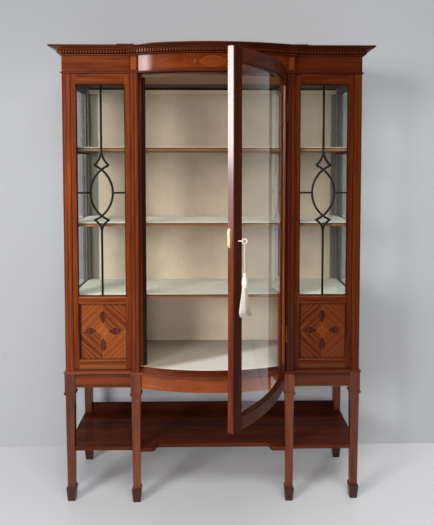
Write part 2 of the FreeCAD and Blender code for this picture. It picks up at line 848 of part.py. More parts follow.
def shelf_layer(low, height, front):
    """A board across the inside, notched round the back posts."""
    board = box("seat_clearance - side_x", front, low, "2 * side_x - 2 * seat_clearance",
                "lining_y - seat_clearance - (%s)" % front, height)
    return cut(board, *back_posts)


linings = []
bearers = []
for shelf in SHELVES:
    top = "base_z + shelf_%s_height - lining_thickness" % shelf
    board_low = top + " - shelf_thickness"
    node(shelf_layer(board_low, "shelf_thickness", "shelf_front"), "shelf_" + shelf)
    linings.append(shelf_layer(top, "lining_thickness", "shelf_front + shelf_lip"))
    for side, sign in SIDES:
        bearers.append(side_box(sign, "side_x - bearer_width", "shelf_front",
                                board_low + " - bearer_height", "bearer_width",
                                "back_y - post_size - shelf_front", "bearer_height"))
group("shelf_linings", linings)
group("shelf_bearers", bearers)


# Frieze: a bead under it, boards between the ear blocks and down the sides

bead_ring = ring(half_round(size("head_z"), size("bead_height"), 0, size("bead_lip")),
                 size("frieze_thickness"))
node(cut(shaped("BeadRing", bead_ring), inner_posts["left"], inner_posts["right"]), "frieze_bead")
for side, sign in SIDES:
    node(side_box(sign, "bay_x", "front_y", "frieze_z", "half_width - bay_x", "frieze_thickness",
                  "frieze_height"), "frieze_" + side)
node(bow_board("face_radius", "face_radius - frieze_thickness", "inner_post_x", "frieze_z",
               "frieze_height"), "frieze_centre")
pair("frieze_sides", lambda sign: side_box(
    sign, "half_width - frieze_thickness", "front_y + frieze_thickness", "frieze_z",
    "frieze_thickness", "carcass_depth - frieze_thickness", "frieze_height"))


# Door: four bowed pieces grooved round the bent glass, drawn shut and turned open together

def turned(shape_object):
    """Swing a finished door piece open about the hinge pins."""
    shape_object.Placement = Placement(Vector(), Rotation(Z_AXIS, size("door_angle")),
                                       Vector(size("hinge_x"), size("hinge_y"), 0))
    return shape_object


def bent_pane(clearance):
    """The bent door glass, or the space for it when a clearance is given."""
    outer = "face_radius - door_glass_inset + (%s)" % clearance
    inner = "face_radius - door_glass_inset - glass_thickness - (%s)" % clearance
    return bow_board(outer, inner, "light_half + glass_seat + (%s)" % clearance,
                     "light_low - glass_seat - (%s)" % clearance,
                     "light_high - light_low + 2 * glass_seat + 2 * (%s)" % clearance)


def door_member(half, start, low, high):
    """A bowed stile or rail between two upright end planes."""
    return bow_board("face_radius", "door_back_radius", half, low, "(%s) - (%s)" % (high, low), start)


groove = bent_pane("seat_clearance")
sight_step = bow_board("face_radius + door_gap", "face_radius - sight_depth", "light_half + sight_width",
                       "light_low - sight_width", "light_high - light_low + 2 * sight_width")
lock_stile = door_member("-light_half", "-door_half", "door_low", "door_high")
hinge_stile = door_member("door_half", "light_half", "door_low", "door_high")
top_rail = door_member("light_half", "-light_half", "light_high", "door_high")
bottom_rail = door_member("light_half", "-light_half", "door_low", "light_low")
node(turned(cut(top_rail, groove, sight_step)), "door_rail_top")
node(turned(cut(bottom_rail, groove, sight_step)), "door_rail_bottom")
node(turned(bent_pane("0")), "door_glass")


# Hinges: three knuckles each, the pins riveted in the post leaves

def knuckles(foot, members, grow):
    """The knuckles of one leaf with the tabs that join them to it."""
    parts = []
    for index in members:
        low = "%s + %d * hinge_height / %d + knuckle_gap / 2" % (foot, index, KNUCKLES)
        tall = "hinge_height / %d - knuckle_gap" % KNUCKLES
        parts.append(cylinder("hinge_x", "hinge_y", low, "knuckle_radius", tall))
        parts.append(box(grow, "hinge_y", low, "leaf_thickness",
                         "knuckle_radius + 2 * hinge_clearance", tall))
    return parts


post_leaves = []
door_leaves = []
door_recesses = []
for foot in HINGE_FEET:
    plate = box("inner_post_x", "ear_y", foot, "leaf_thickness", "leaf_width", "hinge_height")
    pin = cylinder("hinge_x", "hinge_y", foot, "pin_radius", "hinge_height")
    post_leaves.append(fuse(plate, pin, *knuckles(foot, (0, 2), "inner_post_x")))
    plate = box("door_half - leaf_thickness", "ear_y + hinge_clearance", foot, "leaf_thickness",
                "leaf_width", "hinge_height")
    bore = cylinder("hinge_x", "hinge_y", foot, "pin_radius + pin_clearance", "hinge_height")
    door_leaves.append(cut(fuse(plate, *knuckles(foot, (1,), "door_half - leaf_thickness")), bore))
    door_recesses.append(plate)
group("hinge_leaves_post", post_leaves)
turned(group("hinge_leaves_door", door_leaves))
node(turned(cut(hinge_stile, groove, sight_step, *door_recesses)), "door_stile_hinge")


# Lock and key: the key turns in the case and throws the bolt into the left inner post

ALONG_X = Rotation(Vector(0, 1, 0), 90)
ALONG_Y = Rotation(Vector(1, 0, 0), -90)

case_block = box("-door_half", "lock_y", "lock_z - lock_case_height / 2", "lock_case_width",
                 "lock_case_depth", "lock_case_height")
selvedge = box("-door_half", "bolt_y + bolt_thickness / 2 - selvedge_width / 2",
               "lock_z - selvedge_height / 2", "selvedge_thickness", "selvedge_width", "selvedge_height")
bolt_way = box("-door_half", "bolt_y - lock_clearance", "bolt_z - lock_clearance",
               "bolt_length + lock_clearance", "bolt_thickness + 2 * lock_clearance",
               "bolt_height + 2 * lock_clearance")
bit_room = cylinder("key_x", "bit_y - lock_clearance", "key_z", "key_bit_length + lock_clearance * 2",
                    "key_bit_width + 2 * lock_clearance", ALONG_Y)
key_way = cylinder("key_x", "key_face_y - key_reach", "key_z", "key_shank_radius + pin_clearance",
                   "bit_y + key_bit_width + lock_clearance - key_face_y + key_reach", ALONG_Y)
node(turned(cut(fuse(case_block, selvedge), bolt_way, bit_room, key_way)), "lock_case")
node(turned(cut(lock_stile, groove, sight_step, case_block, selvedge, key_way)), "door_stile_lock")
turned(group("lock_bolt", [box("-door_half", "bolt_y", "bolt_z", "bolt_length", "bolt_thickness",
                               "bolt_height")]))

shank = cylinder("key_x", "ring_y + key_ring_radius", "key_z", "key_shank_radius",
                 "bit_y + key_bit_width - ring_y - key_ring_radius", ALONG_Y)
key_disc, key_eye = [
    cylinder("key_x - key_rim_thickness / 2", "ring_y", "key_z", radius, "key_rim_thickness", ALONG_X)
    for radius in ("key_ring_radius + key_rim_radius", "key_ring_radius - key_rim_radius")]
key_ring = cut(key_disc, key_eye)
key_bit = box("key_x", "bit_y", "key_z - key_bit_thickness / 2", "key_bit_length", "key_bit_width",
              "key_bit_thickness")
node(turned(fuse(shank, key_ring, key_bit)), "key")


# Tassel on a looped cord that hangs from the key's ring

def cord_tube():
    """The cord: two strands that part as they rise and join over the lowest rim of the key's ring.

    Each strand runs from inside the knot along the tangent of the bend, whose foot is a little below
    its middle.
    """
    radius = size("cord_radius")
    rim = math.hypot(size("key_rim_radius"), size("key_rim_thickness") / 2)
    bend = rim + size("cord_gap") + radius
    beside = radius + size("cord_gap") / 2
    drop = size("cord_drop") + size("cord_gap")
    y = size("ring_y")
    tangent = math.acos(bend / math.hypot(beside, drop)) - math.atan2(drop, beside)

    def place(side, across, up):
        return Vector(size("key_x") + side * across, y, size("hang_z") + up)

    feet = [place(side, beside, -drop) for side in (-1, 1)]
    touches = [place(side, bend * math.cos(tangent), bend * math.sin(tangent)) for side in (-1, 1)]
    over = Part.Arc(touches[0], place(0, 0, bend), touches[1]).toShape()
    path = Part.Wire([straight(feet[0], touches[0]), over, straight(touches[1], feet[1])])
    ring_wire = Part.Wire(Part.Circle(feet[0], touches[0] - feet[0], radius).toShape())
    tube = path.makePipeShell([ring_wire], True, False)
    section = math.pi * radius ** 2
    print("cord bend radius %.2f, tube radius %.2f, length %.2f" % (bend, radius, path.Length))
    print("cord volume %.3f against section times length %.3f" % (tube.Volume, section * path.Length))
    return tube


TASSEL_SIDES = 16


def tassel_solid():
    """The tassel: a knot, a bound head and a flared skirt, as flat faces between rings of many sides."""
    throat = size("tassel_throat_radius")
    knot = size("tassel_knot_radius")
    head = size("tassel_head_radius")
    top = size("knot_z")
    knot_low = top - 2 * knot
    head_low = knot_low - size("tassel_head_height")
    skirt_low = head_low - size("tassel_skirt_height")
    levels = [(throat, top), (knot, top - knot / 2), (knot, knot_low + knot / 2), (throat, knot_low),
              (head, knot_low - knot), (head, head_low + knot), (size("tassel_neck_radius"), head_low),
              (size("tassel_skirt_radius"), skirt_low)]
    turns = [2 * math.pi * index / TASSEL_SIDES for index in range(TASSEL_SIDES)]
    rings = [[Vector(size("key_x") + radius * math.cos(turn), size("ring_y") + radius * math.sin(turn), z)
              for turn in turns] for radius, z in levels]

    def flat(*corners):
        return Part.Face(Part.makePolygon(list(corners) + [corners[0]]))

    faces = [flat(*rings[0]), flat(*rings[-1])]
    for upper, lower in zip(rings, rings[1:]):
        faces += [flat(upper[index - 1], upper[index], lower[index], lower[index - 1])
                  for index in range(TASSEL_SIDES)]
    return Part.Solid(Part.Shell(faces))


tassel = shaped("TasselForm", tassel_solid())
node(turned(cut(shaped("CordForm", cord_tube()), tassel)), "tassel_cord")
turned(group("tassel", [tassel]))


# Checks and export

doc.recompute()
faults = [item.Name for item in doc.Objects if "Invalid" in item.State or "Error" in item.State]
faults += [item.Label for item in nodes if item.Shape.isNull() or not item.Shape.isValid()]
faults += [item.Label for item in nodes if not item.Shape.Solids]
if faults:
    raise RuntimeError("pieces that did not build: " + ", ".join(faults))
os.makedirs("parts", exist_ok=True)
for item in nodes:
    item.Shape.exportStep("parts/%s.step" % item.Label)
print("%d pieces written" % len(nodes))
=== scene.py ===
import math

import bmesh
import bpy
import numpy as np
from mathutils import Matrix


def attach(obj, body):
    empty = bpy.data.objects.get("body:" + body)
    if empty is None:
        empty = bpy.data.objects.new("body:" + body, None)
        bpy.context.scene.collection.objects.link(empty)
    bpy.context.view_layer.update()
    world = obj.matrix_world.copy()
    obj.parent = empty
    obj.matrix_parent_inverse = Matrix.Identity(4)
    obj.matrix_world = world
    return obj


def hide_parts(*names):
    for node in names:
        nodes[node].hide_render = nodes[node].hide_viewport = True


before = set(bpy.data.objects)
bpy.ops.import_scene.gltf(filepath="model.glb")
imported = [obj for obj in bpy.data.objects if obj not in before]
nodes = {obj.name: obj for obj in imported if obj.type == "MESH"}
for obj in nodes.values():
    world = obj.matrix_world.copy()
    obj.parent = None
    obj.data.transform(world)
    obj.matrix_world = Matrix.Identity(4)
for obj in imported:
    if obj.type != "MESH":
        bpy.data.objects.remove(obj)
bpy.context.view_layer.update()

# Looks of a mahogany breakfront display cabinet: polished veneers with inlay, ebonised glazing bars,
# lined shelves, bent glass, brass, and a silk tassel on the key. Metres, in the frame of the solids.

# Places on the solids; what is within SKIN of a face lies on it
HALF_WIDTH = 0.558
FRONT_Y = -0.173
INNER_POST = 0.2765
BAY = 0.3065
OUTER_POST = 0.528
BACK_POST_Y = 0.143
FRAME_STILE = 0.023
FRAME_STEP = (0.168, 0.553)
SIDE_OPENING = 0.120
BASE_Z = 0.507
APRON_LOW = 0.444
APRON_HIGH = 0.496
PANEL_LOW = 0.551
PANEL_HIGH = 0.764
PANEL_MIDDLE_X = (BAY + OUTER_POST) / 2
PANEL_MIDDLE_Z = (PANEL_LOW + PANEL_HIGH) / 2
PANEL_HALF = (OUTER_POST - BAY) / 2 - FRAME_STILE
GLASS_LOW = 0.794
GLASS_HIGH = 1.586
FRIEZE_LOW = 1.634
FRIEZE_HIGH = 1.692
FLOOR_TOP = 0.523
CEILING_LOW = 1.614
SHELF_LIP_BACK = -0.134
SHELF_BOARD_TOPS = (0.7925, 1.0675, 1.3545)
HINGE = (0.27575, -0.1907)
DOOR_COS = math.cos(math.radians(68))
DOOR_SIN = math.sin(math.radians(68))
DOOR_HALF = 0.275
SKIN = 0.0004

# Colours that several finishes share, linear
DEEP = (0.062, 0.0090, 0.0022)
RED = (0.145, 0.0265, 0.0052)
WARM = (0.245, 0.0560, 0.0110)
MAHOGANY = (DEEP, RED, WARM)
BOXWOOD = (0.52, 0.23, 0.085)
SHADE = (0.018, 0.0045, 0.002)
PALE = (0.68, 0.66, 0.535)


# Numbers and colours that vary over a surface, and the nodes that make them; a border softens by CRISP
# to each side of its edge unless a finish says more

CRISP = 0.0003


def set_inputs(node, **values):
    """Sets a node's inputs by their names, with underscores for spaces."""
    for name, value in values.items():
        node.inputs[name.replace("_", " ")].default_value = value


class Field:
    """A number that varies over a surface: arithmetic on it adds Math nodes to the material."""

    def __init__(self, tree, socket):
        self.tree = tree
        self.socket = socket

    def combine(self, operation, *others):
        """One Math node on this field and other fields or numbers."""
        step = self.tree.nodes.new("ShaderNodeMath")
        step.operation = operation
        for slot, value in zip(step.inputs, (self,) + others):
            if isinstance(value, Field):
                self.tree.links.new(value.socket, slot)
            else:
                slot.default_value = value
        return Field(self.tree, step.outputs[0])

    def __add__(self, other):
        return self.combine("ADD", other)

    def __sub__(self, other):
        return self.combine("SUBTRACT", other)

    def __mul__(self, other):
        return self.combine("MULTIPLY", other)

    def __truediv__(self, other):
        return self.combine("DIVIDE", other)

    def __abs__(self):
        return self.combine("ABSOLUTE")

    def least(self, other):
        return self.combine("MINIMUM", other)

    def most(self, other):
        return self.combine("MAXIMUM", other)

    def rest(self):
        """What is left to 1."""
        return self * -1.0 + 1.0

    def under(self, edge, soft=CRISP):
        """1 where the field is under an edge and 0 past it, with a soft border."""
        border = self.tree.nodes.new("ShaderNodeMapRange")
        border.interpolation_type = "SMOOTHSTEP"
        self.tree.links.new(self.socket, border.inputs["Value"])
        set_inputs(border, From_Min=edge - soft, From_Max=edge + soft, To_Min=1.0, To_Max=0.0)
        return Field(self.tree, border.outputs["Result"])

    def over(self, edge, soft=CRISP):
        """1 where the field is past an edge and 0 under it, with a soft border."""
        return (self * -1.0).under(-edge, soft)


def near(field, place, half, soft=CRISP):
    """1 within a half width of a place, as on an inlaid line."""
    return abs(field - place).under(half, soft)


def within(field, low, high, soft=CRISP):
    """1 between two places."""
    return near(field, (low + high) / 2, (high - low) / 2, soft)


def new_material(name):
    """A material with one Principled shader; gives its tree and that shader."""
    material = bpy.data.materials.new(name)
    material.use_nodes = True
    tree = material.node_tree
    return material, tree, tree.nodes["Principled BSDF"]


def places(tree):
    """The three Object coordinates as fields."""
    coords = tree.nodes.new("ShaderNodeTexCoord")
    parts = tree.nodes.new("ShaderNodeSeparateXYZ")
    tree.links.new(coords.outputs["Object"], parts.inputs[0])
    return [Field(tree, socket) for socket in parts.outputs]


def door_places(tree):
    """Coordinates as if the door were shut: turned back about the hinge pins."""
    x, y, z = places(tree)
    dx = x - HINGE[0]
    dy = y - HINGE[1]
    return [dx * DOOR_COS + dy * DOOR_SIN + HINGE[0], dy * DOOR_COS - dx * DOOR_SIN + HINGE[1], z]


def noise(tree, spot, cells, detail=3.0, distortion=0.0):
    """Noise with so many cells to the metre along each of three fields."""
    point = tree.nodes.new("ShaderNodeCombineXYZ")
    for field, count, slot in zip(spot, cells, point.inputs):
        tree.links.new((field * count).socket, slot)
    cloud = tree.nodes.new("ShaderNodeTexNoise")
    set_inputs(cloud, Scale=1.0, Detail=detail, Distortion=distortion, Roughness=0.55)
    tree.links.new(point.outputs[0], cloud.inputs["Vector"])
    return Field(tree, cloud.outputs["Fac"])


def ramp(tree, field, stops):
    """Colours along a field, from pairs of a place and a colour."""
    band = tree.nodes.new("ShaderNodeValToRGB")
    tree.links.new(field.socket, band.inputs["Fac"])
    elements = band.color_ramp.elements
    while len(elements) < len(stops):
        elements.new(0.5)
    for element, (place, colour) in zip(elements, stops):
        element.position = place
        element.color = (*colour, 1.0)
    return band.outputs["Color"]


# The Mix node's sockets for a factor and two colours, among those for other kinds of value
MIX_SOCKETS = (0, 6, 7)
MIX_RESULT = 2


def mix(tree, share, first, second, blend="MIX"):
    """Two colours, sockets or tuples, mixed by a field or a number."""
    step = tree.nodes.new("ShaderNodeMix")
    step.data_type = "RGBA"
    step.blend_type = blend
    factor, one, two = [step.inputs[k] for k in MIX_SOCKETS]
    if isinstance(share, Field):
        tree.links.new(share.socket, factor)
    else:
        factor.default_value = share
    for slot, colour in ((one, first), (two, second)):
        if isinstance(colour, tuple):
            slot.default_value = (*colour, 1.0)
        else:
            tree.links.new(colour, slot)
    return step.outputs[MIX_RESULT]


def tinted(tree, colour, tint, share=1.0):
    """A colour multiplied by a tint, wholly or by a share."""
    return mix(tree, share, colour, tint, "MULTIPLY")


def lay(tree, colour, tone, where, share):
    """A tone laid over a colour where a field is 1, by a share."""
    return mix(tree, where * share, colour, tone)


def surface(tree, shader, colour, roughness, **others):
    """The colour, roughness and other inputs of a whole surface."""
    tree.links.new(colour, shader.inputs["Base Color"])
    set_inputs(shader, Roughness=roughness, **others)


def relief(tree, shader, height, strength, distance):
    """Fine relief from a field."""
    raised = tree.nodes.new("ShaderNodeBump")
    set_inputs(raised, Strength=strength, Distance=distance)
    tree.links.new(height.socket, raised.inputs["Height"])
    tree.links.new(raised.outputs[0], shader.inputs["Normal"])


def two_shaders(tree, factor, first, second):
    """A surface of the first shader, and of the second where the factor is 1."""
    both = tree.nodes.new("ShaderNodeMixShader")
    for socket, slot in zip((factor, first, second), both.inputs):
        tree.links.new(socket, slot)
    tree.links.new(both.outputs[0], tree.nodes["Material Output"].inputs["Surface"])


# Polished mahogany; noise cells are counted along, across and through the grain

FIGURE = (1.7, 24.0, 24.0)
RIBBON = (6.8, 120.0, 120.0)
FIBRE = (9.0, 420.0, 420.0)
FIGURE_SHARE = 0.55
RIBBON_SHARE = 0.28
FIBRE_SHARE = 0.17
VENEER_STOPS = (0.31, 0.49, 0.67)
PORE_EDGE = 0.40
PORE_SOFT = 0.05
PORE_SHARE = 0.35
PORE_DARK = 0.45


def veneer(tree, grain, tones):
    """Figured mahogany, as a colour and its pores.

    A slow figure and a ribbon drawn out along the grain, with finer fibres, choose among three tones; the
    lowest fibres are dark pores.
    """
    figure = noise(tree, grain, FIGURE, detail=4.0, distortion=0.7)
    ribbon = noise(tree, grain, RIBBON, detail=2.0, distortion=0.2)
    fibre = noise(tree, grain, FIBRE, detail=2.0)
    tone = figure * FIGURE_SHARE + ribbon * RIBBON_SHARE + fibre * FIBRE_SHARE
    colour = ramp(tree, tone, list(zip(VENEER_STOPS, tones)))
    pores = fibre.under(PORE_EDGE, PORE_SOFT)
    return mix(tree, pores * PORE_SHARE, colour, tuple(c * PORE_DARK for c in tones[0])), pores


SATIN = 0.42
POLISH = 0.12
HAZE = 0.05


def finish_wood(tree, shader, colour, pores, gloss=SATIN, polish=POLISH, haze=HAZE):
    """French polish over the veneer: a clear coat, whose share may vary, over a faint sheen."""
    surface(tree, shader, colour, gloss, Specular_IOR_Level=haze, Coat_Roughness=0.16)
    if isinstance(polish, Field):
        tree.links.new(polish.socket, shader.inputs["Coat Weight"])
    else:
        set_inputs(shader, Coat_Weight=polish)
    relief(tree, shader, pores, strength=0.12, distance=0.0002)


# Painted shade that darkens the right side of the case
RIGHT_SHADE_SPAN = 0.36
RIGHT_SHADE_TINT = (0.46, 0.38, 0.33)


def painted_right_shade(tree, x, colour):
    """Painted shade: the colour darkened towards the right, away from the lamps on the left, where less light
    falls.
    """
    return tinted(tree, colour, RIGHT_SHADE_TINT, x.over(0.0, RIGHT_SHADE_SPAN))


ARRIS_Y = -0.1799
EDGE_WORN = 0.93
EDGE_LOW_TINT = (0.74, 0.66, 1.1)
EDGE_GLOSS = 0.97


def shaded_door_faces(tree, spot, colour, tint):
    """The door's faces are darkened by a tint, painted shade; its free edge, behind the arris, keeps its
    colour and is rubbed bright.

    Gives the colour and the gloss of that edge, which fades out towards the foot.
    """
    edge = spot[0].under(-DOOR_HALF + SKIN) * spot[1].over(ARRIS_Y, soft=0.0006)
    worn = spot[2].over(EDGE_WORN, soft=0.16)
    bare = mix(tree, worn, tinted(tree, colour, EDGE_LOW_TINT), colour)
    return mix(tree, edge, tinted(tree, colour, tint), bare), edge * worn * EDGE_GLOSS


WINDOW_END = -0.240
GRAIN_ORDER = {"x": (0, 1, 2), "y": (1, 0, 2), "z": (2, 0, 1)}


def wood(name, grain, tones=MAHOGANY, gloss=SATIN, inlay=None, door_shade=None, polish=POLISH, haze=HAZE,
         right_shaded=True, window_end=0.0):
    """Polished mahogany with its grain along x, y or z, and an inlay drawn over it.

    On the door the faces are darkened by a tint, painted shade, and the free edge is rubbed bright.
    The left end, which looks to the window, is polished more by window_end.
    """
    material, tree, shader = new_material(name)
    spot = door_places(tree) if door_shade else places(tree)
    colour, pores = veneer(tree, [spot[k] for k in GRAIN_ORDER[grain]], tones)
    if inlay:
        colour = inlay(tree, spot, colour)
    # Painted shade towards the right
    if right_shaded:
        colour = painted_right_shade(tree, spot[0], colour)
    if door_shade:
        colour, rubbed = shaded_door_faces(tree, spot, colour, door_shade)
        polish = rubbed + polish
    if window_end:
        polish = spot[0].under(WINDOW_END, soft=0.028) * window_end + polish
    finish_wood(tree, shader, colour, pores, gloss, polish, haze)
    return material


# Inlays, dark marks, painted shade and painted highlights on the wood: each takes the place on the piece and
# the colour under it

FRONT_BAND = FRONT_Y + 0.004
LINE_INSET = 0.0085
LINE_HALF = 0.0008


def post_lines(low, high):
    """Boxwood lines up both edges of a post's front, between two places from the middle plane."""
    def draw(tree, spot, colour):
        side = abs(spot[0])
        lines = near(side, low + LINE_INSET, LINE_HALF).most(near(side, high - LINE_INSET, LINE_HALF))
        return lay(tree, colour, BOXWOOD, lines * spot[1].under(FRONT_BAND), share=0.20)
    return draw


EAR_LINE = 0.003
EAR_CORE_SIDE = 0.0048
EAR_CORE_LEVEL = 0.005
EAR_TONE = (0.24, 0.050, 0.010)


def ear_block(side, height, side_inset, level_inset):
    """1 on an inner post's block in the frieze, inside two insets."""
    level = within(height, FRIEZE_LOW + level_inset, FRIEZE_HIGH - level_inset)
    return within(side, INNER_POST + side_inset, BAY - side_inset) * level


def frieze_ears(tree, spot, colour):
    """Inner posts: lines up the shaft, and in the frieze a warmer block with a dark line round it."""
    side = abs(spot[0])
    front = spot[1].under(FRONT_BAND)
    colour = post_lines(INNER_POST, BAY)(tree, spot, colour)
    line = ear_block(side, spot[2], EAR_LINE, EAR_LINE)
    core = ear_block(side, spot[2], EAR_CORE_SIDE, EAR_CORE_LEVEL)
    colour = lay(tree, colour, SHADE, line * front, share=0.7)
    return mix(tree, core * front, colour, EAR_TONE)


LEFT_SHADED_CLOTH = (0.21, 0.20, 0.175)
RIGHT_SHADED_CLOTH = (0.42, 0.41, 0.38)


def lined_inside(tree, spot, colour):
    """Back posts: cloth over the two faces that look into the case, darkened as painted shade, more on the
    left.
    """
    inward = abs(spot[0]).under(OUTER_POST + SKIN).most(spot[1].under(BACK_POST_Y + SKIN))
    return mix(tree, inward, colour, mix(tree, spot[0].under(0.0), RIGHT_SHADED_CLOTH, LEFT_SHADED_CLOTH))


RAIL_CLOTH = 1.607
RAIL_CLOTH_TONE = (0.47, 0.36, 0.245)


def lined_rail(tree, spot, colour):
    """Cloth brought up over the lower part of the rail at the back."""
    return mix(tree, spot[2].under(RAIL_CLOTH, soft=0.0006), colour, RAIL_CLOTH_TONE)


SHELF_DARK_DROP = 0.0020
SHELF_DARK_HALF = 0.0021
SHELF_PALE_HALF = 0.0005


def shelf_front(tree, spot, colour):
    """Along the front of each shelf a pale line, a painted highlight, over a dark one, above a lighter brown
    lip.
    """
    front = spot[1].under(SHELF_LIP_BACK)
    for top in SHELF_BOARD_TOPS:
        dark = near(spot[2], top - SHELF_DARK_DROP, SHELF_DARK_HALF)
        colour = lay(tree, colour, SHADE, dark * front, share=0.95)
        # The pale line along each top edge is a painted highlight
        pale = near(spot[2], top, SHELF_PALE_HALF)
        colour = lay(tree, colour, PALE, pale * front, share=0.6)
    return colour


DENTIL_PITCH = 0.0105
DENTIL_START = 0.55725
BOW_CENTRE = 0.5225
BOW_RADIUS = 0.761
BOW_TEETH = 54
BOW_HALF_TURN = math.asin(INNER_POST / BOW_RADIUS)


def dentil_gap_shade(tree, spot, colour):
    """Painted shade between the teeth, which repeat along the straight runs and round the bow.

    A gap is where the cosine of the way along, counted in teeth, is low.
    """
    x, y, _ = spot
    run = (abs(x) - DENTIL_START) / DENTIL_PITCH
    turn = (x / (y * -1.0 + BOW_CENTRE)).combine("ARCTANGENT")
    bow = turn * (BOW_TEETH / (2 * BOW_HALF_TURN)) + 0.5
    on_bow = abs(x).under(INNER_POST)
    step = run + (bow - run) * on_bow
    tooth = (step * (2 * math.pi)).combine("COSINE")
    return lay(tree, colour, SHADE, tooth.under(edge=0.1, soft=0.2), share=0.7)


BAND_WIDTH = 0.016
APRON_RED = (0.21, 0.040, 0.016)
APRON_TOP = 0.007
APRON_TOP_SHADE_TINT = (0.34, 0.42, 0.36)
RIGHT_APRON_SHADE = (0.57, 0.60, 0.66)
APRON_LINE_UP = 0.003
APRON_LINE_HALF = 0.001


def apron_bands(band, top_shade):
    """Aprons: a redder field between bands of a browner tint, and a pale line along the bottom edge.

    The top, under the waist, is darker by top_shade, and so is the whole apron on the right: both painted
    shade.
    """
    def draw(tree, spot, colour):
        height = spot[2]
        field = within(height, APRON_LOW + BAND_WIDTH, APRON_HIGH - BAND_WIDTH, soft=0.002)
        colour = lay(tree, tinted(tree, colour, band), APRON_RED, field, share=0.45)
        # Painted shade under the waist
        top = height.over(APRON_HIGH - APRON_TOP, soft=APRON_TOP)
        colour = tinted(tree, colour, APRON_TOP_SHADE_TINT, top * top_shade)
        # Painted shade over the whole apron on the right
        colour = tinted(tree, colour, RIGHT_APRON_SHADE, spot[0].over(INNER_POST))
        line = near(height, APRON_LOW + APRON_LINE_UP, APRON_LINE_HALF)
        return lay(tree, colour, BOXWOOD, line, share=0.15)
    return draw


FOOT_TOP = 0.058
FOOT_TONE = (0.030, 0.012, 0.008)
OUTER_LEGS = 0.45
OUTER_LEG_TINT = (0.74, 0.78, 0.82)


def dark_feet(tree, spot, colour):
    """Feet and collars darker than the shafts; the outer legs are a little darker too."""
    colour = tinted(tree, colour, OUTER_LEG_TINT, abs(spot[0]).over(OUTER_LEGS))
    return lay(tree, colour, FOOT_TONE, spot[2].under(FOOT_TOP, soft=0.006), share=0.85)


def groove_shade(*heights, half):
    """Painted shade in level grooves of a moulding, within a half width of their heights."""
    def draw(tree, spot, colour):
        lines = near(spot[2], heights[0], half, soft=0.0005)
        for height in heights[1:]:
            lines = lines.most(near(spot[2], height, half, soft=0.0005))
        return lay(tree, colour, SHADE, lines, share=0.85)
    return draw


# Painted shade in the grooves of the bead and the cornice, and under the waist
head_grooves = groove_shade(1.626, FRIEZE_LOW, FRIEZE_HIGH, 1.699, half=0.0011)
waist_groove = groove_shade(APRON_HIGH, half=0.0020)
CROWN_EDGE = 1.718


def dark_crown(tree, spot, colour):
    """The cornice: painted shade in its grooves, and darker along its top edge."""
    top = spot[2].over(CROWN_EDGE, soft=0.002)
    return lay(tree, head_grooves(tree, spot, colour), SHADE, top, share=0.6)


FRIEZE_MIDDLE = (FRIEZE_LOW + FRIEZE_HIGH) / 2
FRIEZE_FOOT = 0.007
LENS_HALF = 0.049
LENS_RISE = 0.0195
LENS_LINE = 0.0009
LENS_TONE = (0.36, 0.085, 0.020)
DIAMOND_X = 0.064
DIAMOND_HALF = 0.0080
DIAMOND_CORE = 0.0062
DIAMOND_TONE = (0.10, 0.024, 0.009)


def frieze_inlay(tree, spot, colour):
    """A pointed oval in the middle of the bowed frieze with a small diamond at each side.

    The oval is where |z| stays under a parabola of x; a diamond is where |x| + |z| stays under its half
    width. The frieze darkens towards its foot.
    """
    x, _, z = spot
    colour = lay(tree, colour, DEEP, z.under(FRIEZE_LOW + FRIEZE_FOOT, soft=FRIEZE_FOOT), share=0.5)
    rise = abs(z - FRIEZE_MIDDLE)
    reach = x / LENS_HALF
    oval = rise - (reach * reach).rest() * LENS_RISE
    colour = lay(tree, colour, BOXWOOD, abs(oval).under(LENS_LINE), share=0.30)
    colour = lay(tree, colour, LENS_TONE, oval.under(-LENS_LINE), share=0.25)
    diamond = abs(abs(x) - DIAMOND_X) + rise
    colour = lay(tree, colour, BOXWOOD, diamond.under(DIAMOND_HALF), share=0.25)
    return lay(tree, colour, DIAMOND_TONE, diamond.under(DIAMOND_CORE), share=0.5)


# Frames of the bays and of the sides

JOINT_HALF = 0.0004
JOINT_SHARE = 0.6
EDGE_DARK = 0.0025
EDGE_SHARE = 0.85
RIM = 0.0034
RIM_SHARE = 0.8
FRAME_FOOT = BASE_Z + 0.006
FRAME_FOOT_HALF = 0.0025
FRAME_FOOT_SHARE = 0.6


def frame_joints_and_shade(across, height, low, high):
    """How far a frame is darkened: dark joints, outer edges and foot line, and painted shade round the glass.
    """
    joint = near(across, low, JOINT_HALF).most(near(across, high, JOINT_HALF))
    edge = near(across, low - FRAME_STILE, EDGE_DARK).most(near(across, high + FRAME_STILE, EDGE_DARK))
    beside = near(across, low, RIM).most(near(across, high, RIM)) * within(height, GLASS_LOW, GLASS_HIGH)
    above = near(height, GLASS_HIGH, RIM) * within(across, low, high)
    foot = near(height, FRAME_FOOT, FRAME_FOOT_HALF, soft=0.0010)
    darkening = (joint * JOINT_SHARE).most(edge * EDGE_SHARE)
    return darkening.most(beside.most(above) * RIM_SHARE).most(foot * FRAME_FOOT_SHARE)


ARRIS = 0.005
MIDRAIL_TOP = (0.7865, 0.793)
LOW_RAIL_FOOT = (0.513, 0.531)
LOW_RAIL_SHARE = 0.5


def rail_highlights(height):
    """Painted highlights on the rails' edges and the middle rail's top, and a paler band low on the bottom
    rail.
    """
    lightening = within(height, *MIDRAIL_TOP)
    for edge in (PANEL_HIGH, PANEL_LOW):
        lightening = lightening.most(near(height, edge, ARRIS))
    return lightening.most(within(height, *LOW_RAIL_FOOT, soft=0.004) * LOW_RAIL_SHARE)


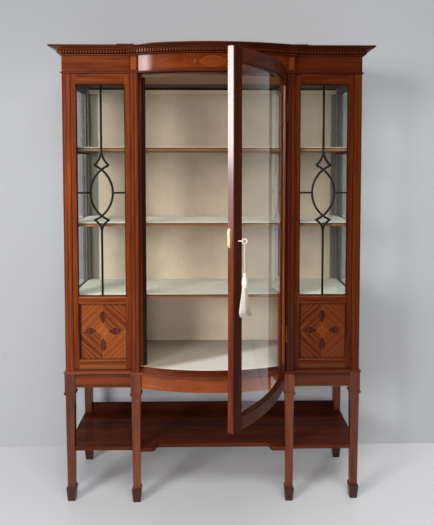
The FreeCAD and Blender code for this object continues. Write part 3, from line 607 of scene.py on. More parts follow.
def frame_wood(name, across_axis, low, high, inside):
    """A frame: upright grain on the stiles, level grain on the rails.

    low and high are the inner edges of its stiles along the axis that runs across it.
    The faces behind its step are darkened to a given tone, painted shade.
    """
    material, tree, shader = new_material(name)
    x, y, z = places(tree)
    across, depth = (abs(x), y * -1.0) if across_axis == 0 else (y, abs(x))
    upright, pores = veneer(tree, (z, across, depth), MAHOGANY)
    level, _ = veneer(tree, (across, z, depth), MAHOGANY)
    rails = within(across, low, high)
    colour = mix(tree, rails, upright, level)
    # Painted highlights along the rails' edges, and a paler band low on the bottom rail
    colour = lay(tree, colour, BOXWOOD, rail_highlights(z) * rails, share=0.32)
    # Dark joints and a line at the foot, painted shade round the glass, and painted shade towards the right
    colour = mix(tree, frame_joints_and_shade(across, z, low, high), painted_right_shade(tree, x, colour), SHADE)
    # Painted shade on the faces behind the step
    behind = depth.under(FRAME_STEP[across_axis], soft=SKIN)
    colour = lay(tree, colour, inside, behind, share=0.9)
    finish_wood(tree, shader, colour, pores)
    return material


# Marquetry panels

STRIPE_CELLS = (95.0, 2.0, 0.5)
FINE_CELLS = (520.0, 12.0, 10.0)
STRIPE_SHARE = 0.8
FINE_SHARE = 0.2
STRIPE_TONES = ((0.355, (0.068, 0.012, 0.003)), (0.49, (0.142, 0.029, 0.007)), (0.615, (0.27, 0.068, 0.015)))
QUARTER_TONE = (0.32, 0.085, 0.018)
STAR_PINCH = 40.0
STAR_SPAN = 0.35
STAR_EDGE = 0.0170
STAR_TONE = (0.36, 0.105, 0.022)


def quartered(tree, x, y, z, on_left):
    """Veneer in four quarters, as a colour and its fine grain: stripes on |x| + |z| and a paler star.

    Two quarters are lighter, opposite ones on the left panel and the outer ones on the right panel. The star
    is where |x| |z| and |x| + |z|, weighed together, stay low.
    """
    ring = abs(x) + abs(z)
    run = abs(x) - abs(z)
    stripe = noise(tree, (ring, run, x), STRIPE_CELLS, detail=2.0, distortion=0.15)
    fine = noise(tree, (ring, run, y), FINE_CELLS, detail=2.0)
    colour = ramp(tree, stripe * STRIPE_SHARE + fine * FINE_SHARE, STRIPE_TONES)
    light = (x * (z * on_left + on_left.rest())).over(0.0, soft=0.00002)
    colour = lay(tree, colour, QUARTER_TONE, light, share=0.38)
    star = (abs(x) * abs(z) * STAR_PINCH + ring * STAR_SPAN).under(STAR_EDGE, soft=0.003)
    return lay(tree, colour, STAR_TONE, star, share=0.45), fine


PETAL_HALF = 0.0148
PETAL_FULL = 2.6
LONG_PETAL = (0.026, 0.076)
OUTER_PETAL = (0.022, 0.066)
INNER_PETAL = (0.018, 0.066)


def petal(out, across, tip, head):
    """A teardrop that starts at a point and swells outwards to a round head: the field is negative inside it.

    Its half width is t times the square root of 1 - t, scaled, where t runs from tip to head.
    """
    t = (out - tip) / (head - tip)
    fullness = t * t.rest().most(0.0).combine("SQRT") * (PETAL_HALF * PETAL_FULL)
    return abs(across) - fullness


def four_petals(x, z):
    """Four teardrops that point at the middle: the field is negative inside any of them."""
    upright = petal(z, x, *LONG_PETAL).least(petal(z * -1.0, x, *LONG_PETAL))
    return upright.least(petal(x, z, *OUTER_PETAL)).least(petal(x * -1.0, z, *INNER_PETAL))


PETAL_LINE = 0.0008
PETAL_LINE_TONE = (0.36, 0.13, 0.045)
PETAL_EDGE = -0.0002
PETAL_CELLS = (160.0, 30.0, 10.0)
PETAL_TONES = ((0.35, (0.050, 0.011, 0.005)), (0.65, (0.130, 0.028, 0.010)))
PANEL_SHADOW = 0.007
PANEL_SHADOW_SOFT = 0.005
PANEL_SHADOW_LEFT = 0.85
PANEL_SHADOW_TOP = 0.4


def marquetry(name):
    """Quarter-veneered panel with four dark petals, each with a pale line round it.

    Painted shadow darkens the edges that the frame shades, left and top.
    """
    material, tree, shader = new_material(name)
    side, y, height = places(tree)
    x = abs(side) - PANEL_MIDDLE_X
    z = height - PANEL_MIDDLE_Z
    colour, fine = quartered(tree, x, y, z, side.under(0.0))
    petals = four_petals(x, z)
    colour = lay(tree, colour, PETAL_LINE_TONE, petals.under(PETAL_LINE), share=0.6)
    dark = ramp(tree, noise(tree, (x, z, y), PETAL_CELLS), PETAL_TONES)
    # Dark petals, then painted shade towards the right
    colour = painted_right_shade(tree, side, mix(tree, petals.under(PETAL_EDGE), colour, dark))
    # Painted shadow of the frame on the left and top edges
    from_left = x * side.combine("SIGN") + PANEL_HALF
    left = from_left.under(PANEL_SHADOW, PANEL_SHADOW_SOFT) * PANEL_SHADOW_LEFT
    top = height.over(PANEL_HIGH - PANEL_SHADOW, PANEL_SHADOW_SOFT) * PANEL_SHADOW_TOP
    colour = mix(tree, left.most(top), colour, SHADE)
    finish_wood(tree, shader, colour, fine.under(PORE_EDGE, PORE_SOFT))
    return material


# Other woods

EBONY_GRAIN = (300.0, 300.0, 14.0)
EBONY_TONES = ((0.3, (0.006, 0.005, 0.0045)), (0.7, (0.014, 0.011, 0.009)))


def ebonised(name):
    """Black stained wood with a satin polish and faint grain."""
    material, tree, shader = new_material(name)
    grain = noise(tree, places(tree), EBONY_GRAIN)
    colour = ramp(tree, grain, EBONY_TONES)
    surface(tree, shader, colour, roughness=0.38, Specular_IOR_Level=0.15)
    relief(tree, shader, grain, strength=0.1, distance=0.0002)
    return material


BOARD_FIGURE = (3.0, 60.0, 60.0)
BOARD_FIBRE = (12.0, 500.0, 500.0)
BOARD_FIGURE_SHARE = 0.7
BOARD_FIBRE_SHARE = 0.3
BOARD_TONES = ((0.3, (0.16, 0.085, 0.040)), (0.5, (0.25, 0.145, 0.070)), (0.7, (0.33, 0.21, 0.11)))
BOARD_ROUGHNESS = 0.62


def plain_wood(name, grain):
    """Unpolished pale boards with their grain along x or z."""
    material, tree, shader = new_material(name)
    x, y, z = places(tree)
    along, across = (x, z) if grain == "x" else (z, x)
    figure = noise(tree, (along, across, y), BOARD_FIGURE, detail=4.0, distortion=0.4)
    fibre = noise(tree, (along, across, y), BOARD_FIBRE, detail=2.0)
    colour = ramp(tree, figure * BOARD_FIGURE_SHARE + fibre * BOARD_FIBRE_SHARE, BOARD_TONES)
    surface(tree, shader, colour, BOARD_ROUGHNESS)
    relief(tree, shader, fibre, strength=0.2, distance=0.0003)
    return material


CEILING_TONES = ((0.3, (0.200, 0.088, 0.031)), (0.7, (0.340, 0.170, 0.066)))
CEILING_DARK_Y = 0.014
CEILING_EDGE = CEILING_LOW + 0.0005
CEILING_EDGE_TONE = (0.090, 0.026, 0.010)


def ceiling(name):
    """Ceiling boards: tan underneath, dark towards the back, with a red-brown front edge."""
    material, tree, shader = new_material(name)
    x, y, z = places(tree)
    colour = ramp(tree, noise(tree, (x, y, z), BOARD_FIBRE, detail=2.0), CEILING_TONES)
    colour = lay(tree, colour, SHADE, y.over(CEILING_DARK_Y, soft=0.008), share=0.92)
    colour = mix(tree, z.over(CEILING_EDGE), colour, CEILING_EDGE_TONE)
    surface(tree, shader, colour, BOARD_ROUGHNESS)
    return material


# Linings of the case

CREAM = (0.58, 0.465, 0.345)
FLOOR_CREAM = (0.40, 0.318, 0.222)
AGE_CELLS = (5.0, 5.0, 5.0)
AGE_SHARE = 0.6
SLUB_CELLS = (900.0, 60.0, 60.0)
SLUB_SHARE = 0.4
CLOTH_STOPS = (0.32, 0.5, 0.68)
CLOTH_TONES = (0.80, 1.0, 1.14)
TOP_SHADE_HEIGHT = 1.1
TOP_SHADE_TINT = (0.52, 0.50, 0.48)
LIT_FRONT_Y = -0.074
LIT_FRONT_SLANT = 0.56
LIT_FRONT_TONE = (0.97, 0.91, 0.79)
LOWEST_BAY = 0.785
LOWEST_BAY_LIGHT = (0.80, 0.66, 0.50)
LINING_ENDS = (-0.492, 0.509)
LINING_END_SOFT = 0.004
END_SHADE_TONE = (0.100, 0.090, 0.072)


def cloth_patches_and_light(tree, spot, slub, tone, end_shade_and_bay_light, shaded_top, front_light):
    """Colour of old cloth: slow patches; painted shade at the top and ends, painted light in front and in the
    lowest bay.
    """
    x, y, z = spot
    age = noise(tree, spot, AGE_CELLS)
    tones = [tuple(factor * c for c in tone) for factor in CLOTH_TONES]
    colour = ramp(tree, age * AGE_SHARE + slub * SLUB_SHARE, list(zip(CLOTH_STOPS, tones)))
    # Painted shade towards the top
    colour = tinted(tree, colour, TOP_SHADE_TINT, z.over(TOP_SHADE_HEIGHT, soft=0.5) * shaded_top)
    # Painted light over the front, with a slanting edge where the shadow of the left post falls
    front = (y - x * LIT_FRONT_SLANT).under(LIT_FRONT_Y, soft=0.036)
    colour = mix(tree, front * front_light, colour, LIT_FRONT_TONE)
    # Painted light in the lowest bay
    lowest = z.under(LOWEST_BAY, soft=0.01)
    colour = lay(tree, colour, LOWEST_BAY_LIGHT, lowest * end_shade_and_bay_light, share=0.3)
    # Painted shade at the ends
    left, right = LINING_ENDS
    ends = x.under(left, LINING_END_SOFT).most(x.over(right, LINING_END_SOFT))
    return mix(tree, ends * end_shade_and_bay_light, colour, END_SHADE_TONE)


THREADS = 3400.0
THREAD_SHARE = 0.5


def lining(name, tone=CREAM, end_shade_and_bay_light=0.0, shaded_top=0.0, front_light=0.0):
    """Cloth: two crossed thread waves with slubs; shares of painted shade at ends and top, painted light in
    front.
    """
    material, tree, shader = new_material(name)
    spot = places(tree)
    x, y, z = spot
    warp = (x * THREADS).combine("SINE")
    weft = ((y + z) * THREADS).combine("SINE")
    slub = noise(tree, spot, SLUB_CELLS, detail=2.0)
    colour = cloth_patches_and_light(tree, spot, slub, tone, end_shade_and_bay_light, shaded_top, front_light)
    surface(tree, shader, colour, roughness=0.85, Sheen_Weight=0.2)
    relief(tree, shader, warp * weft * THREAD_SHARE + slub, strength=0.25, distance=0.0003)
    return material


# Glass, metal and silk

GLASS_TINT = (0.965, 0.985, 0.975, 1.0)
GLASS_SHADOW = (0.93, 0.955, 0.945, 1.0)


def clear_glass(name, dust=0.0):
    """Clear panes that let the lamps through, with a share of dust on them."""
    material, tree, shader = new_material(name)
    set_inputs(shader, Base_Color=GLASS_TINT, Roughness=0.0, IOR=1.45, Transmission_Weight=1.0 - dust)
    path = tree.nodes.new("ShaderNodeLightPath")
    through = tree.nodes.new("ShaderNodeBsdfTransparent")
    through.inputs[0].default_value = GLASS_SHADOW
    two_shaders(tree, path.outputs["Is Shadow Ray"], shader.outputs[0], through.outputs[0])
    return material


WEAR_CELLS = (220.0, 220.0, 220.0)
WEAR_STOPS = (0.35, 0.62)
SCRATCH_CELLS = (2200.0, 2200.0, 90.0)
RUBBED_Y = -0.1690
TARNISH = (0.09, 0.045, 0.018)


def worn_metal(name, dull, bright, on_lock=False):
    """Brass or plated steel with a brushed, slightly tarnished face; a lock is bright only at the back."""
    material, tree, shader = new_material(name)
    spot = places(tree)
    lightening = noise(tree, spot, WEAR_CELLS, detail=4.0)
    scratch = noise(tree, spot, SCRATCH_CELLS, detail=2.0)
    colour = ramp(tree, lightening, list(zip(WEAR_STOPS, (dull, bright))))
    if on_lock:
        front = door_places(tree)[1].under(RUBBED_Y, soft=0.0006)
        colour = lay(tree, colour, TARNISH, front, share=0.9)
    surface(tree, shader, colour, roughness=0.3, Metallic=1.0)
    relief(tree, shader, scratch, strength=0.12, distance=0.0002)
    return material


STREAK_CELLS = (1500.0, 1500.0, 60.0)
SILK_TONES = ((0.3, (0.66, 0.59, 0.51)), (0.55, (0.72, 0.67, 0.60)), (0.8, (0.78, 0.735, 0.665)))
VARIED_AND_SHADED_SILK = (0.40, 0.31, 0.22)
TWIST = 1900.0
TWIST_SLANT = 1.4
TWIST_EDGE = -0.35
TWIST_SHADE = (0.36, 0.28, 0.20)


def silk(name, twisted):
    """Cream silk yarn: fine streaks along the strands, or a twisted cord's slanting bands of painted shade.
    """
    material, tree, shader = new_material(name)
    x, y, z = places(tree)
    ridges = noise(tree, (x, y, z), STREAK_CELLS, detail=2.0)
    colour = ramp(tree, ridges, SILK_TONES)
    if twisted:
        # Slanting bands of painted shade in the grooves of the twist
        ridges = ((z + (x + y) * TWIST_SLANT) * TWIST).combine("SINE")
        colour = lay(tree, colour, TWIST_SHADE, ridges.under(TWIST_EDGE, soft=0.4), share=0.55)
    else:
        # The strand_tone attribute darkens the strands: tone that differs at random, with painted shade
        tone = tree.nodes.new("ShaderNodeAttribute")
        tone.attribute_name = "strand_tone"
        colour = mix(tree, Field(tree, tone.outputs["Fac"]), colour, VARIED_AND_SHADED_SILK)
    surface(tree, shader, colour, roughness=0.55, Sheen_Weight=0.2)
    relief(tree, shader, ridges, strength=0.3, distance=0.0003)
    return material


# Finishes of the solids

def dress(material, *names):
    """Gives the named solids a finish."""
    for name in names:
        nodes[name].data.materials[0] = material


def both(name):
    """The names of the left and the right solid of a pair."""
    return name + "_left", name + "_right"


LEG_TONES = (DEEP, (0.125, 0.027, 0.008), (0.20, 0.048, 0.014))
UNDERTIER_TONES = ((0.040, 0.008, 0.003), (0.075, 0.014, 0.005), RED)
UPSTAND_TONES = ((0.020, 0.004, 0.002), (0.036, 0.007, 0.003), (0.062, 0.012, 0.004))
BROWN_BAND = (0.82, 0.95, 0.98)
EVEN_BAND = (1.0, 1.0, 1.0)
BOW_APRON_TONES = (RED, (0.25, 0.057, 0.012), (0.36, 0.088, 0.016))
WAIST_TONES = (RED, (0.23, 0.048, 0.016), (0.32, 0.078, 0.027))

dress(wood("mahogany_leg", "z", LEG_TONES, inlay=dark_feet, polish=0.4, haze=0.15, right_shaded=False),
      *both("leg_front"), *both("leg_inner"), *both("leg_back"))
dress(wood("mahogany_undertier", "x", UNDERTIER_TONES, gloss=0.5, right_shaded=False), "undertier")
dress(wood("mahogany_upstand", "x", UPSTAND_TONES, gloss=0.5, polish=0.05, right_shaded=False), "undertier_upstand")
dress(wood("mahogany_apron", "x", inlay=apron_bands(BROWN_BAND, top_shade=0.85), polish=0.2, haze=0.06,
           right_shaded=False), *both("apron"), "apron_back")
dress(wood("mahogany_bowed_apron", "x", BOW_APRON_TONES, inlay=apron_bands(EVEN_BAND, top_shade=0.1),
           polish=0.2, haze=0.04, right_shaded=False), "apron_centre")
dress(wood("mahogany_waist", "x", WAIST_TONES, inlay=waist_groove, polish=0.5, haze=0.25, window_end=0.9),
      "waist_moulding")

POST_TONES = (DEEP, (0.100, 0.017, 0.0035), (0.165, 0.034, 0.0065))
LEVEL_TONES = (DEEP, (0.122, 0.0225, 0.0045), (0.195, 0.043, 0.0085))
SHELF_TONES = ((0.11, 0.045, 0.016), (0.20, 0.088, 0.032), (0.28, 0.135, 0.054))
BACK_RAIL_TONES = ((0.006, 0.0025, 0.0015), (0.015, 0.005, 0.003), (0.03, 0.006, 0.002))
SIDE_FRAME_INSIDE_SHADE = (0.115, 0.110, 0.100)

dress(wood("mahogany_outer_post", "z", inlay=post_lines(OUTER_POST, HALF_WIDTH)), *both("post_front"))
dress(wood("mahogany_inner_post", "z", POST_TONES, inlay=frieze_ears), *both("post_inner"))
dress(wood("mahogany_back_post", "z", inlay=lined_inside), "posts_back")
dress(wood("mahogany_dark", "x", BACK_RAIL_TONES, inlay=lined_rail, polish=0.0, haze=0.0, right_shaded=False),
      "back_rail")
dress(wood("mahogany_sideways", "y"), "apron_sides", "frieze_sides", "shelf_bearers", "side_panels")
dress(wood("mahogany_level", "x", LEVEL_TONES), "floor_board", *both("frieze"))
dress(wood("mahogany_shelf", "x", SHELF_TONES, inlay=shelf_front, right_shaded=False),
      "shelf_top", "shelf_middle", "shelf_lower")
dress(frame_wood("mahogany_front_frame", across_axis=0, low=BAY + FRAME_STILE, high=OUTER_POST - FRAME_STILE,
                 inside=SHADE), *both("front_frame"))
dress(frame_wood("mahogany_side_frame", across_axis=1, low=-SIDE_OPENING, high=SIDE_OPENING,
                 inside=SIDE_FRAME_INSIDE_SHADE), *both("side_frame"))
dress(marquetry("quartered_panel"), *both("front_panel"))
dress(ebonised("ebonised_bars"), "glazing_bars")
dress(plain_wood("upright_boards", "z"), "back_panel")
dress(plain_wood("level_boards", "x"), "top_board")
dress(ceiling("ceiling_boards"), "ceiling_board")
dress(lining("cream_lining", end_shade_and_bay_light=0.9, shaded_top=0.75), "back_lining")
dress(lining("floor_cloth", FLOOR_CREAM, front_light=1.0), "floor_lining")
# The shelf linings take a paler, greener copy of the cream cloth: painted light and reflection on their tops
dress(lining("pale_lining", PALE), "shelf_linings")
dress(clear_glass("clear_panes"), "front_glass", "door_glass")
dress(clear_glass("side_panes", dust=0.08), "side_glass")

BEAD_TONES = (DEEP, (0.085, 0.016, 0.004), (0.145, 0.030, 0.008))
CORNICE_TONES = ((0.060, 0.012, 0.004), (0.130, 0.028, 0.009), (0.21, 0.045, 0.012))
DENTIL_TONES = (RED, (0.20, 0.044, 0.010), WARM)
FRIEZE_TONES = ((0.115, 0.020, 0.004), (0.165, 0.029, 0.005), (0.23, 0.048, 0.009))

dress(wood("mahogany_moulding", "x", BEAD_TONES, inlay=head_grooves, window_end=0.9), "frieze_bead")
dress(wood("mahogany_cornice", "x", CORNICE_TONES, inlay=dark_crown, polish=0.03, window_end=0.6), "cornice")
dress(wood("mahogany_dentils", "x", DENTIL_TONES, inlay=dentil_gap_shade, polish=0.0, window_end=0.15),
      "dentil_course")
dress(wood("mahogany_frieze", "x", FRIEZE_TONES, inlay=frieze_inlay, polish=0.02, haze=0.015, window_end=0.9),
      "frieze_centre")

# Tints that darken the door's faces: painted shade
LOCK_STILE_SHADE = (0.27, 0.25, 0.27)
HINGE_STILE_SHADE = (0.70, 0.62, 0.60)
DOOR_RAIL_SHADE = (0.46, 0.42, 0.50)
HINGE_BRASS = ((0.16, 0.09, 0.035), (0.34, 0.21, 0.09))
LOCK_BRASS = ((0.42, 0.31, 0.17), (0.54, 0.41, 0.25))
KEY_STEEL = ((0.40, 0.35, 0.30), (0.74, 0.69, 0.63))

dress(wood("mahogany_door_stile", "z", door_shade=LOCK_STILE_SHADE, polish=0.05, right_shaded=False), "door_stile_lock")
dress(wood("mahogany_hinge_stile", "z", door_shade=HINGE_STILE_SHADE, polish=0.05, right_shaded=False),
      "door_stile_hinge")
dress(wood("mahogany_door_rail", "x", door_shade=DOOR_RAIL_SHADE, polish=0.15, right_shaded=False),
      "door_rail_top", "door_rail_bottom")
dress(worn_metal("worn_brass", *HINGE_BRASS), "hinge_leaves_post", "hinge_leaves_door")
dress(worn_metal("lock_brass", *LOCK_BRASS, on_lock=True), "lock_case", "lock_bolt")
dress(worn_metal("worn_steel", *KEY_STEEL), "key")


# Meshes of the new pieces

def placed(name, data):
    """A new object of the scene, at the origin."""
    piece = bpy.data.objects.new(name, data)
    bpy.context.collection.objects.link(piece)
    return piece


def grid_faces(rows, columns):
    """Quads between neighbouring rows of a grid, whose columns close into a ring."""
    row, column = np.meshgrid(np.arange(rows - 1), np.arange(columns), indexing="ij")
    after = (column + 1) % columns
    return np.stack([row * columns + column, row * columns + after,
                     (row + 1) * columns + after, (row + 1) * columns + column], -1).reshape(-1, 4)


def end_caps(rows, columns):
    """The first and the last row of such a grid, as two faces."""
    return np.stack([np.arange(columns), np.arange(columns) + columns * (rows - 1)])


def mesh_piece(name, points, faces, caps, material, smooth=True):
    """A closed mesh from arrays of points, quads and end caps, with its faces turned outwards."""
    mesh = bpy.data.meshes.new(name)
    mesh.from_pydata(points.reshape(-1, 3).tolist(), [], faces.tolist() + caps.tolist())
    shell = bmesh.new()
    shell.from_mesh(mesh)
    bmesh.ops.recalc_face_normals(shell, faces=shell.faces)
    shell.to_mesh(mesh)
    shell.free()
    mesh.polygons.foreach_set("use_smooth", np.full(len(mesh.polygons), smooth))
    mesh.materials.append(material)
    return placed(name, mesh)


# Tassel: its cord loops over the lowest rim of the key's ring

KEY_SHUT = (-0.258, -0.208185)
RING_LOW = 1.064
KNOT_TOP = 0.979
CORD_RADIUS = 0.0012
CORD_BEND = 0.00294
CORD_BESIDE = 0.00135
NEAR_RING = 12 * CORD_RADIUS
cream_silk = silk("cream_silk", twisted=False)
cord_silk = silk("cord_silk", twisted=True)


def opened(x, y):
    """A place on the shut door, turned open with it about the hinge pins."""
    dx = x - HINGE[0]
    dy = y - HINGE[1]
    return HINGE[0] + dx * DOOR_COS - dy * DOOR_SIN, HINGE[1] + dx * DOOR_SIN + dy * DOOR_COS


def loop_route():
    """The cord's control points: up from the knot, over the rim of the ring, and down again.

    Each side runs straight from its place beside the knot out to the half width of the bend.
    """
    near_side = CORD_BEND - (CORD_BEND - CORD_BESIDE) * NEAR_RING / (RING_LOW - KNOT_TOP)
    rising = [(CORD_BESIDE, KNOT_TOP), (near_side, RING_LOW - NEAR_RING), (CORD_BEND, RING_LOW),
              (CORD_BEND, RING_LOW + CORD_BEND)]
    corners = [(-side, height) for side, height in rising] + rising[::-1]
    return [(*opened(KEY_SHUT[0] + side, KEY_SHUT[1]), height) for side, height in corners]


def cord_curve(name, route):
    """A smooth cord: one spline with the route's points as its control points."""
    curve = bpy.data.curves.new(name, "CURVE")
    curve.dimensions = "3D"
    curve.bevel_depth = CORD_RADIUS
    curve.bevel_resolution = 4
    spline = curve.splines.new("NURBS")
    spline.points.add(len(route) - 1)
    for point, place in zip(spline.points, route):
        point.co = (*place, 1.0)
    spline.order_u = 3
    spline.use_endpoint_u = True
    spline.resolution_u = 12
    curve.materials.append(cord_silk)
    return placed(name, curve)


route = loop_route()
cord = cord_curve("tassel_loop", route)
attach(cord, "tassel")
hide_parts("tassel_cord")

TASSEL_AXIS = opened(*KEY_SHUT)
KNOT_LOW = KNOT_TOP - 0.010
HEAD_LOW = KNOT_LOW - 0.034
SKIRT_LOW = HEAD_LOW - 0.084
HEAD_HEIGHTS = (0.979, 0.9785, 0.976, 0.973, 0.9705, 0.969, 0.966,
                0.961, 0.952, 0.943, 0.940, 0.938, 0.936, 0.935)
HEAD_RADII = (0.0001, 0.0035, 0.0048, 0.0048, 0.0038, 0.0034, 0.0058,
              0.0076, 0.0083, 0.0078, 0.0068, 0.0072, 0.0066, 0.0060)
HEAD_SIDES = 72
YARN_SWELL = 0.05
YARN_COUNT = 18
YARN_SLANT = 600
YARN_START = 0.9


def tassel_head():
    """Knot and bound head, turned about the tassel's axis.

    The radius follows a profile of height and swells and sinks with the sine of the angle plus a slant, as
    bundled yarn does.
    """
    angles = np.linspace(0, 2 * np.pi, HEAD_SIDES, endpoint=False)
    h, a = np.meshgrid(np.array(HEAD_HEIGHTS), angles, indexing="ij")
    yarn = np.sin(YARN_COUNT * a + YARN_SLANT * (h - YARN_START))
    r = np.array(HEAD_RADII)[:, None] * (1 + YARN_SWELL * yarn)
    points = np.stack([TASSEL_AXIS[0] + r * np.cos(a), TASSEL_AXIS[1] + r * np.sin(a), h], -1)
    faces = grid_faces(len(HEAD_HEIGHTS), HEAD_SIDES)
    caps = end_caps(len(HEAD_HEIGHTS), HEAD_SIDES)
    return mesh_piece("tassel_head", points, faces, caps, cream_silk)


DOOR_OUT = (DOOR_SIN, -DOOR_COS)
DOOR_ALONG = (DOOR_COS, DOOR_SIN)
SKIRT_TOP = HEAD_LOW + 0.003
SKIRT_FLARE = 1.15
NECK = 0.0060
SKIRT_OUT = 0.0225
SKIRT_IN = 0.0150
SKIRT_SIDE = 0.0200
SIDE_STRAY = 0.10
STRAND_WAVE = 0.0006
STRAND_WAVES = 2.5
STRAND_PHASE = 9
STRAND_RINGS = 12
STRAND_SIDES = 5
STRAND_RADIUS = 0.00085
STRAND_TAPER = 0.35


def strand_lines(angle, share, wave, foot):
    """The middle lines of the strands, from a disc under the head to the skirt's foot.

    A strand's place is r(u) cos a outwards and r(u) sin a along the door, where r runs from the neck to the
    skirt as u to the power of the flare; a small wave moves it along the door.
    """
    u = np.linspace(0, 1, STRAND_RINGS)
    spread = u ** SKIRT_FLARE
    out = np.cos(angle)
    along = np.sin(angle) + SIDE_STRAY * wave[:, 0]
    reach = np.where(out > 0, SKIRT_OUT, SKIRT_IN)
    outward = share[:, None] * (NECK + (reach - NECK)[:, None] * spread) * out[:, None]
    sideways = share[:, None] * (NECK + (SKIRT_SIDE - NECK) * spread) * along[:, None]
    sideways = sideways + STRAND_WAVE * np.sin(np.pi * STRAND_WAVES * u + STRAND_PHASE * wave[:, 1:])
    height = SKIRT_TOP + (foot[:, None] - SKIRT_TOP) * u
    return np.stack([TASSEL_AXIS[0] + outward * DOOR_OUT[0] + sideways * DOOR_ALONG[0],
                     TASSEL_AXIS[1] + outward * DOOR_OUT[1] + sideways * DOOR_ALONG[1], height], -1)


def strand_tubes(lines):
    """Thin tapered tubes round the strands' lines, as points, quads and end caps."""
    turn = np.linspace(0, 2 * np.pi, STRAND_SIDES, endpoint=False)
    radius = STRAND_RADIUS * (1 - STRAND_TAPER * np.linspace(0, 1, STRAND_RINGS))
    ring = np.stack([np.cos(turn), np.sin(turn), np.zeros(STRAND_SIDES)], -1)
    points = lines[:, :, None, :] + radius[None, :, None, None] * ring[None, None]
    first = STRAND_RINGS * STRAND_SIDES * np.arange(len(lines))[:, None, None]
    faces = grid_faces(STRAND_RINGS, STRAND_SIDES)[None] + first
    caps = end_caps(STRAND_RINGS, STRAND_SIDES)[None] + first
    return points, faces.reshape(-1, 4), caps.reshape(-1, STRAND_SIDES)


STRANDS = 420
CLUMPS = 17
SKIRT_SEED = 7
CLUMP_SPREAD = 0.09
INNERMOST = 0.15
STRAND_FOOT = 0.004
CLUMP_FOOT = 0.012
INNER_SHADE = 0.25
STRAND_DULL = 0.08
CLUMP_DULL = 0.12
OUTWARD_SHADE = 0.80
OUTWARD_SHADE_EDGE = 0.30
OUTWARD_SHADE_SOFT = 0.3


def tassel_skirt():
    """Silk strands in clumps, with uneven feet; the inner strands and those that look out get painted shade.
    """
    draw = np.random.default_rng(SKIRT_SEED)
    clump = draw.integers(0, CLUMPS, STRANDS)
    angle = 2 * np.pi * (clump + 0.5) / CLUMPS + draw.normal(0, CLUMP_SPREAD, STRANDS)
    share = np.sqrt(draw.uniform(INNERMOST, 1, STRANDS))
    wave = draw.uniform(-1, 1, (STRANDS, 2))
    foot = SKIRT_LOW + draw.uniform(0, STRAND_FOOT, STRANDS) + draw.uniform(0, CLUMP_FOOT, CLUMPS)[clump]
    # Painted shade on the inner strands, and tone that differs at random per strand and clump
    tone = INNER_SHADE * (1 - share) + draw.uniform(0, STRAND_DULL, STRANDS)
    tone = tone + draw.uniform(0, CLUMP_DULL, CLUMPS)[clump]
    # Painted shade on the strands that look out, away from the lamps
    outer = np.clip((np.cos(angle) - OUTWARD_SHADE_EDGE) / OUTWARD_SHADE_SOFT, 0, 1)
    tone = np.clip(tone + OUTWARD_SHADE * outer, 0, 1)
    points, faces, caps = strand_tubes(strand_lines(angle, share, wave, foot))
    piece = mesh_piece("tassel_skirt", points, faces, caps, cream_silk)
    shade = piece.data.attributes.new("strand_tone", "FLOAT", "POINT")
    shade.data.foreach_set("value", np.repeat(tone, STRAND_RINGS * STRAND_SIDES))
    return piece


head = tassel_head()
skirt = tassel_skirt()
for piece in (head, skirt):
    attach(piece, "tassel")
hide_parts("tassel")


# Glazing bars: the same pattern as the solid bars, with the rounded section of real ones

BAR_WIDTH = 0.0084
BAR_LEVEL_WIDTH = 0.0068
BAR_BACK = -0.162
BAR_FRONT = -0.167
BAR_SIDES = 13
ARC_POINTS = 33
OVAL_LEVEL = 1.184
OVAL_WIDE = 0.042
OVAL_HIGH = 0.087
OVAL_TIP = 0.102
SPEAR_REACH = 0.029
SPEAR_APEX = 1.346
SPEAR_APEX_HEIGHT = 0.060
SPEAR_FOOT = 1.036
SPEAR_FOOT_HEIGHT = 0.046


def arc_route(x, z, radius, first, last):
    """Places along an arc of the front, as x and z, between two angles from the X axis."""
    angle = np.linspace(first, last, ARC_POINTS)
    return np.stack([x + radius * np.cos(angle), z + radius * np.sin(angle)], -1)


def bar_routes(middle):
    """The middle lines of one light's bars, each with its width: straight bars, an oval, and spears.

    The oval's sides are arcs that cross and run on to the tips of the spears, whose sides are arcs too.
    """
    routes = [(np.array([[middle, GLASS_HIGH], [middle, SPEAR_APEX]]), BAR_WIDTH),
              (np.array([[middle, SPEAR_FOOT], [middle, GLASS_LOW]]), BAR_WIDTH)]
    radius = (OVAL_HIGH ** 2 + OVAL_WIDE ** 2) / (2 * OVAL_WIDE)
    sweep = math.asin(OVAL_TIP / radius)
    for way in (-1, 1):
        facing = 0 if way > 0 else math.pi
        level_bar = [[middle + way * OVAL_WIDE, OVAL_LEVEL], [middle + way * PANEL_HALF, OVAL_LEVEL]]
        routes.append((np.array(level_bar), BAR_LEVEL_WIDTH))
        centre = middle + way * (OVAL_WIDE - radius)
        routes.append((arc_route(centre, OVAL_LEVEL, radius, facing - sweep, facing + sweep), BAR_WIDTH))
        for end, height, sense in ((SPEAR_APEX, SPEAR_APEX_HEIGHT, -1), (SPEAR_FOOT, SPEAR_FOOT_HEIGHT, 1)):
            bend = (SPEAR_REACH ** 2 + height ** 2) / (2 * SPEAR_REACH)
            start = math.pi - facing
            turn = math.asin(height / bend) * sense * -way
            routes.append((arc_route(middle + way * bend, end, bend, start, start + turn), BAR_WIDTH))
    return routes


def rounded_bar(line, width):
    """Points of one bar: half an ellipse, width by depth, carried along a middle line with a flat back."""
    turn = np.linspace(0, np.pi, BAR_SIDES)
    ahead = np.gradient(line, axis=0)
    ahead = ahead / np.linalg.norm(ahead, axis=1, keepdims=True)
    across = np.stack([-ahead[:, 1], ahead[:, 0]], -1)
    place = line[:, None, :] + across[:, None, :] * (width / 2 * np.cos(turn))[None, :, None]
    deep = np.broadcast_to(BAR_BACK + (BAR_FRONT - BAR_BACK) * np.sin(turn), place.shape[:2])
    return np.stack([place[:, :, 0], deep, place[:, :, 1]], -1).reshape(-1, 3)


